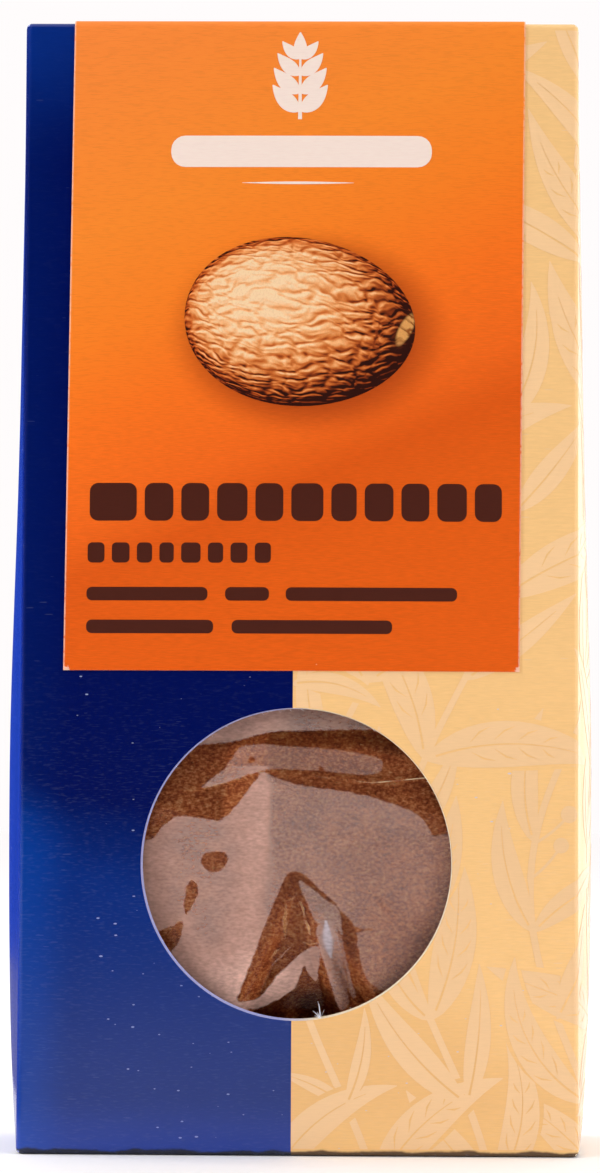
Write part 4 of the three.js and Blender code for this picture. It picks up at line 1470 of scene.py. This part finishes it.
def clear_film():
    """Clear oriented polypropylene, heat sealed: glass-clear with a sharp plastic shine. Where it
    stands off the powder, a pale veil laid on as dust is a painted reflection of the bright
    surroundings, and its folds and hair crease carry painted highlights and golden glints."""
    material, add, place = new_material("clear_polypropylene_film")
    edge, depth, offset, inside, strength, golden = (
        add("Attribute", out="Fac", attribute_name=name) for name in FILM_ATTRIBUTES
    )
    # The painted veil's rim wanders by 0.1 mm and is soft.
    wandering = add("Math.MULTIPLY_ADD", add("TexNoise", place, 1100.0, 2.0), 0.5, edge)
    veiled = add(RISE, wandering, 0.12, 0.42)
    # The painted veil is grained in level streaks 0.7 mm long and 0.3 mm high, in clouds 2 to 3 mm across.
    veil_streaks = add("MapRange", level_noise(add, place, 1500, 3600, 3.0), 0.3, 0.7, 0.74, 1.08)
    clouds = level_noise(add, place, 300, 520, 3.0)
    grained = add("Math.MULTIPLY", veil_streaks, add("MapRange", clouds, 0.3, 0.7, 0.88, 1.04))
    veil = add("Math.MULTIPLY", depth, veiled)
    # The hair crease is painted as a highlight a tenth of a millimetre wide, faint on its left and bright
    # on its right.
    crease_highlight = add(RISE, add("Math.ABSOLUTE", offset), 0.1, 0.03)
    across = add("SeparateXYZ", place)
    crease_right = add(RISE, across, 0.008, 0.0125, 0.0, 0.62)
    crease_left = add(RISE, across, 0.001, 0.005, 0.0, 0.22)
    crease_faint = add("Math.ADD", crease_right, crease_left)
    crease_shown = add(RISE, add("TexNoise", place, 420.0, 1.0), 0.3, 0.6)
    creased = add("Math.MULTIPLY", crease_highlight, add("Math.MULTIPLY", crease_faint, crease_shown))
    # Painted highlights and golden glints on the folds.
    fold_line = add(RISE, inside, -0.1, 0.95)
    at_fold = add("Math.MULTIPLY", fold_line, strength)
    pale = add("Math.MAXIMUM", veil, add("Math.MAXIMUM", creased, at_fold))
    clear = add("BsdfTransparent", (0.97, 0.96, 0.95, 1))
    shine = add("BsdfGlossy", Roughness=0.06)
    film = add("MixShader", add("Fresnel", 1.24), clear, shine)
    tint = add("ValToRGB", clouds, stops=[(0.35, "#E8CEC6"), (0.65, "#FBD3C3")])
    tint = add(MIX, add(RISE, depth, 0.32, 0.5), tint, "#FFCFBE")
    white = add(MIX, add(RISE, at_fold, 0.15, 0.62), tint, "#F6EEF8")
    white = add(MIX, crease_highlight, white, "#FFDFAE")
    golden_glints = add(MIX, add("Math.MULTIPLY", fold_line, golden), white, "#FFC070")
    # The pale veil, a diffuse layer over the film, is a painted reflection.
    painted_reflection = add("BsdfDiffuse", add("VectorMath.SCALE", golden_glints, grained))
    add("OutputMaterial", add("MixShader", add("Math.MINIMUM", pale, 0.85), film, painted_reflection))
    return material


def ground_nutmeg():
    """Ground nutmeg: a dull, oily brown meal of dark shell and tan kernel, in grains of 0.1 to
    0.5 mm, which catches no shine."""
    material, add, place = new_material("ground_nutmeg_meal")
    grains = level_noise(add, place, 2000, 3200, 4.0, Roughness=0.65)
    mixed = add("Math.MULTIPLY_ADD", add("TexNoise", place, 320.0, 2.0), 0.25, grains)
    tones = [(0.40, "#78391A"), (0.86, "#F2BC86"), (0.56, "#B05A33"), (0.68, "#D6824C")]
    tone = add("ValToRGB", mixed, stops=tones)
    fleck, _ = spots(add, place, 1500.0, 0.74, 1.0, 0.3)
    flecked = add(MIX, fleck, tone, "#CC9058")
    # The meal is darker inside the fold's pocket, and painted darker as shade from the window's top edge in
    # the band at the window's head.
    inside = add("Attribute", out="Fac", attribute_name="pressed_inside")
    pocket_darkening = add(RISE, inside, -0.2, 0.9)
    head_shade = add(RISE, add("SeparateXYZ", place, out="Z"), 0.0476, 0.0487)
    for share, factor in ((pocket_darkening, (0.68, 0.62, 0.52)), (head_shade, (0.64, 0.54, 0.42))):
        flecked = add(MIX, share, flecked, add("VectorMath.MULTIPLY", flecked, factor))
    bump = add("Bump", Height=grains, Strength=0.8, Distance=0.00012)
    coat(add, flecked, 0.9, 1.4, Normal=bump)
    return material


TUFT_ANGLE = -81  # where the tuft of fibres stands on the window's rim, in degrees
# The tuft's fibres: each one's heading in degrees, and its length.
TUFT_FIBRES = (
    (92, 2.0), (88, 1.7), (58, 1.15), (128, 1.2), (150, 0.7), (35, 0.65), (108, 0.8), (78, 0.8),
)
RIM_FIBRES = 46
FIBRE_ROOT = WINDOW_RADIUS - 0.1
TUFT_FINISH = (0.04, 6)  # a fibre's radius, and how far it curls in degrees
RIM_FINISH = (0.018, 30)


def make_fibres(material):
    """Fibres left by the die on the window's rim, and one tuft of them at the foot."""
    cone = {"vertices": 5, "radius1": 1.0, "radius2": 0.35, "depth": 1.0, "location": (0, 0, 0.5)}
    base = start_piece("fibre", bpy.ops.mesh.primitive_cone_add, **cone)
    slice_at(base, 2, (0.25, 0.5, 0.75))
    fibres = []

    def grow(rim_angle, heading, lean, length, radius, curl):
        turn = math.radians(rim_angle)
        x = WINDOW_X + FIBRE_ROOT * math.cos(turn)
        z = WINDOW_Z + FIBRE_ROOT * math.sin(turn)
        root = (x, -(HALF_DEPTH + face_swell(x, z) - BOARD * 0.4), z)
        fibre = link_piece("fibre", base.data.copy())
        for vertex in fibre.data.vertices:
            share = vertex.co.z
            angle = math.radians(heading + curl * share * share)
            out = length * share
            thick = radius * vertex.co.x
            vertex.co.x = root[0] + out * math.cos(angle) + thick
            vertex.co.y = root[1] - lean * out + radius * vertex.co.y
            vertex.co.z = root[2] + out * math.sin(angle) + thick
        fibres.append(fibre)

    for heading, length in TUFT_FIBRES:
        grow(TUFT_ANGLE, heading, 0.12, length, *TUFT_FINISH)
    for i in range(RIM_FIBRES):
        angle = random.uniform(70, 250) if i % 2 else random.uniform(0, 360)
        heading = angle + 180 + random.uniform(-70, 70)
        grow(angle, heading, random.uniform(-0.2, 0.6), random.uniform(0.15, 0.45), *RIM_FINISH)
    bpy.data.objects.remove(base)
    select_only(*fibres)
    bpy.ops.object.join()
    fibres[0].name = "cut_fibres"
    return finish_piece(fibres[0], [material])


make_camera()
make_stage()
make_carton(varnished_boxboard(), raw_boxboard())
make_foliage(varnished_ink("varnished_leaf_ink", "#F8CD9A", 0.02))
make_label(label_paper(), cut_paper())
make_label_prints(matt_ink("dark_brown_ink", "#4A1603", 0.08), matt_ink("off_white_ink", "#FFE9DC", 0.03))
make_nut_picture(printed_nut())
make_film(clear_film())
make_powder(ground_nutmeg())
make_grains(coarse_grains())
make_fibres(paper_fibre())
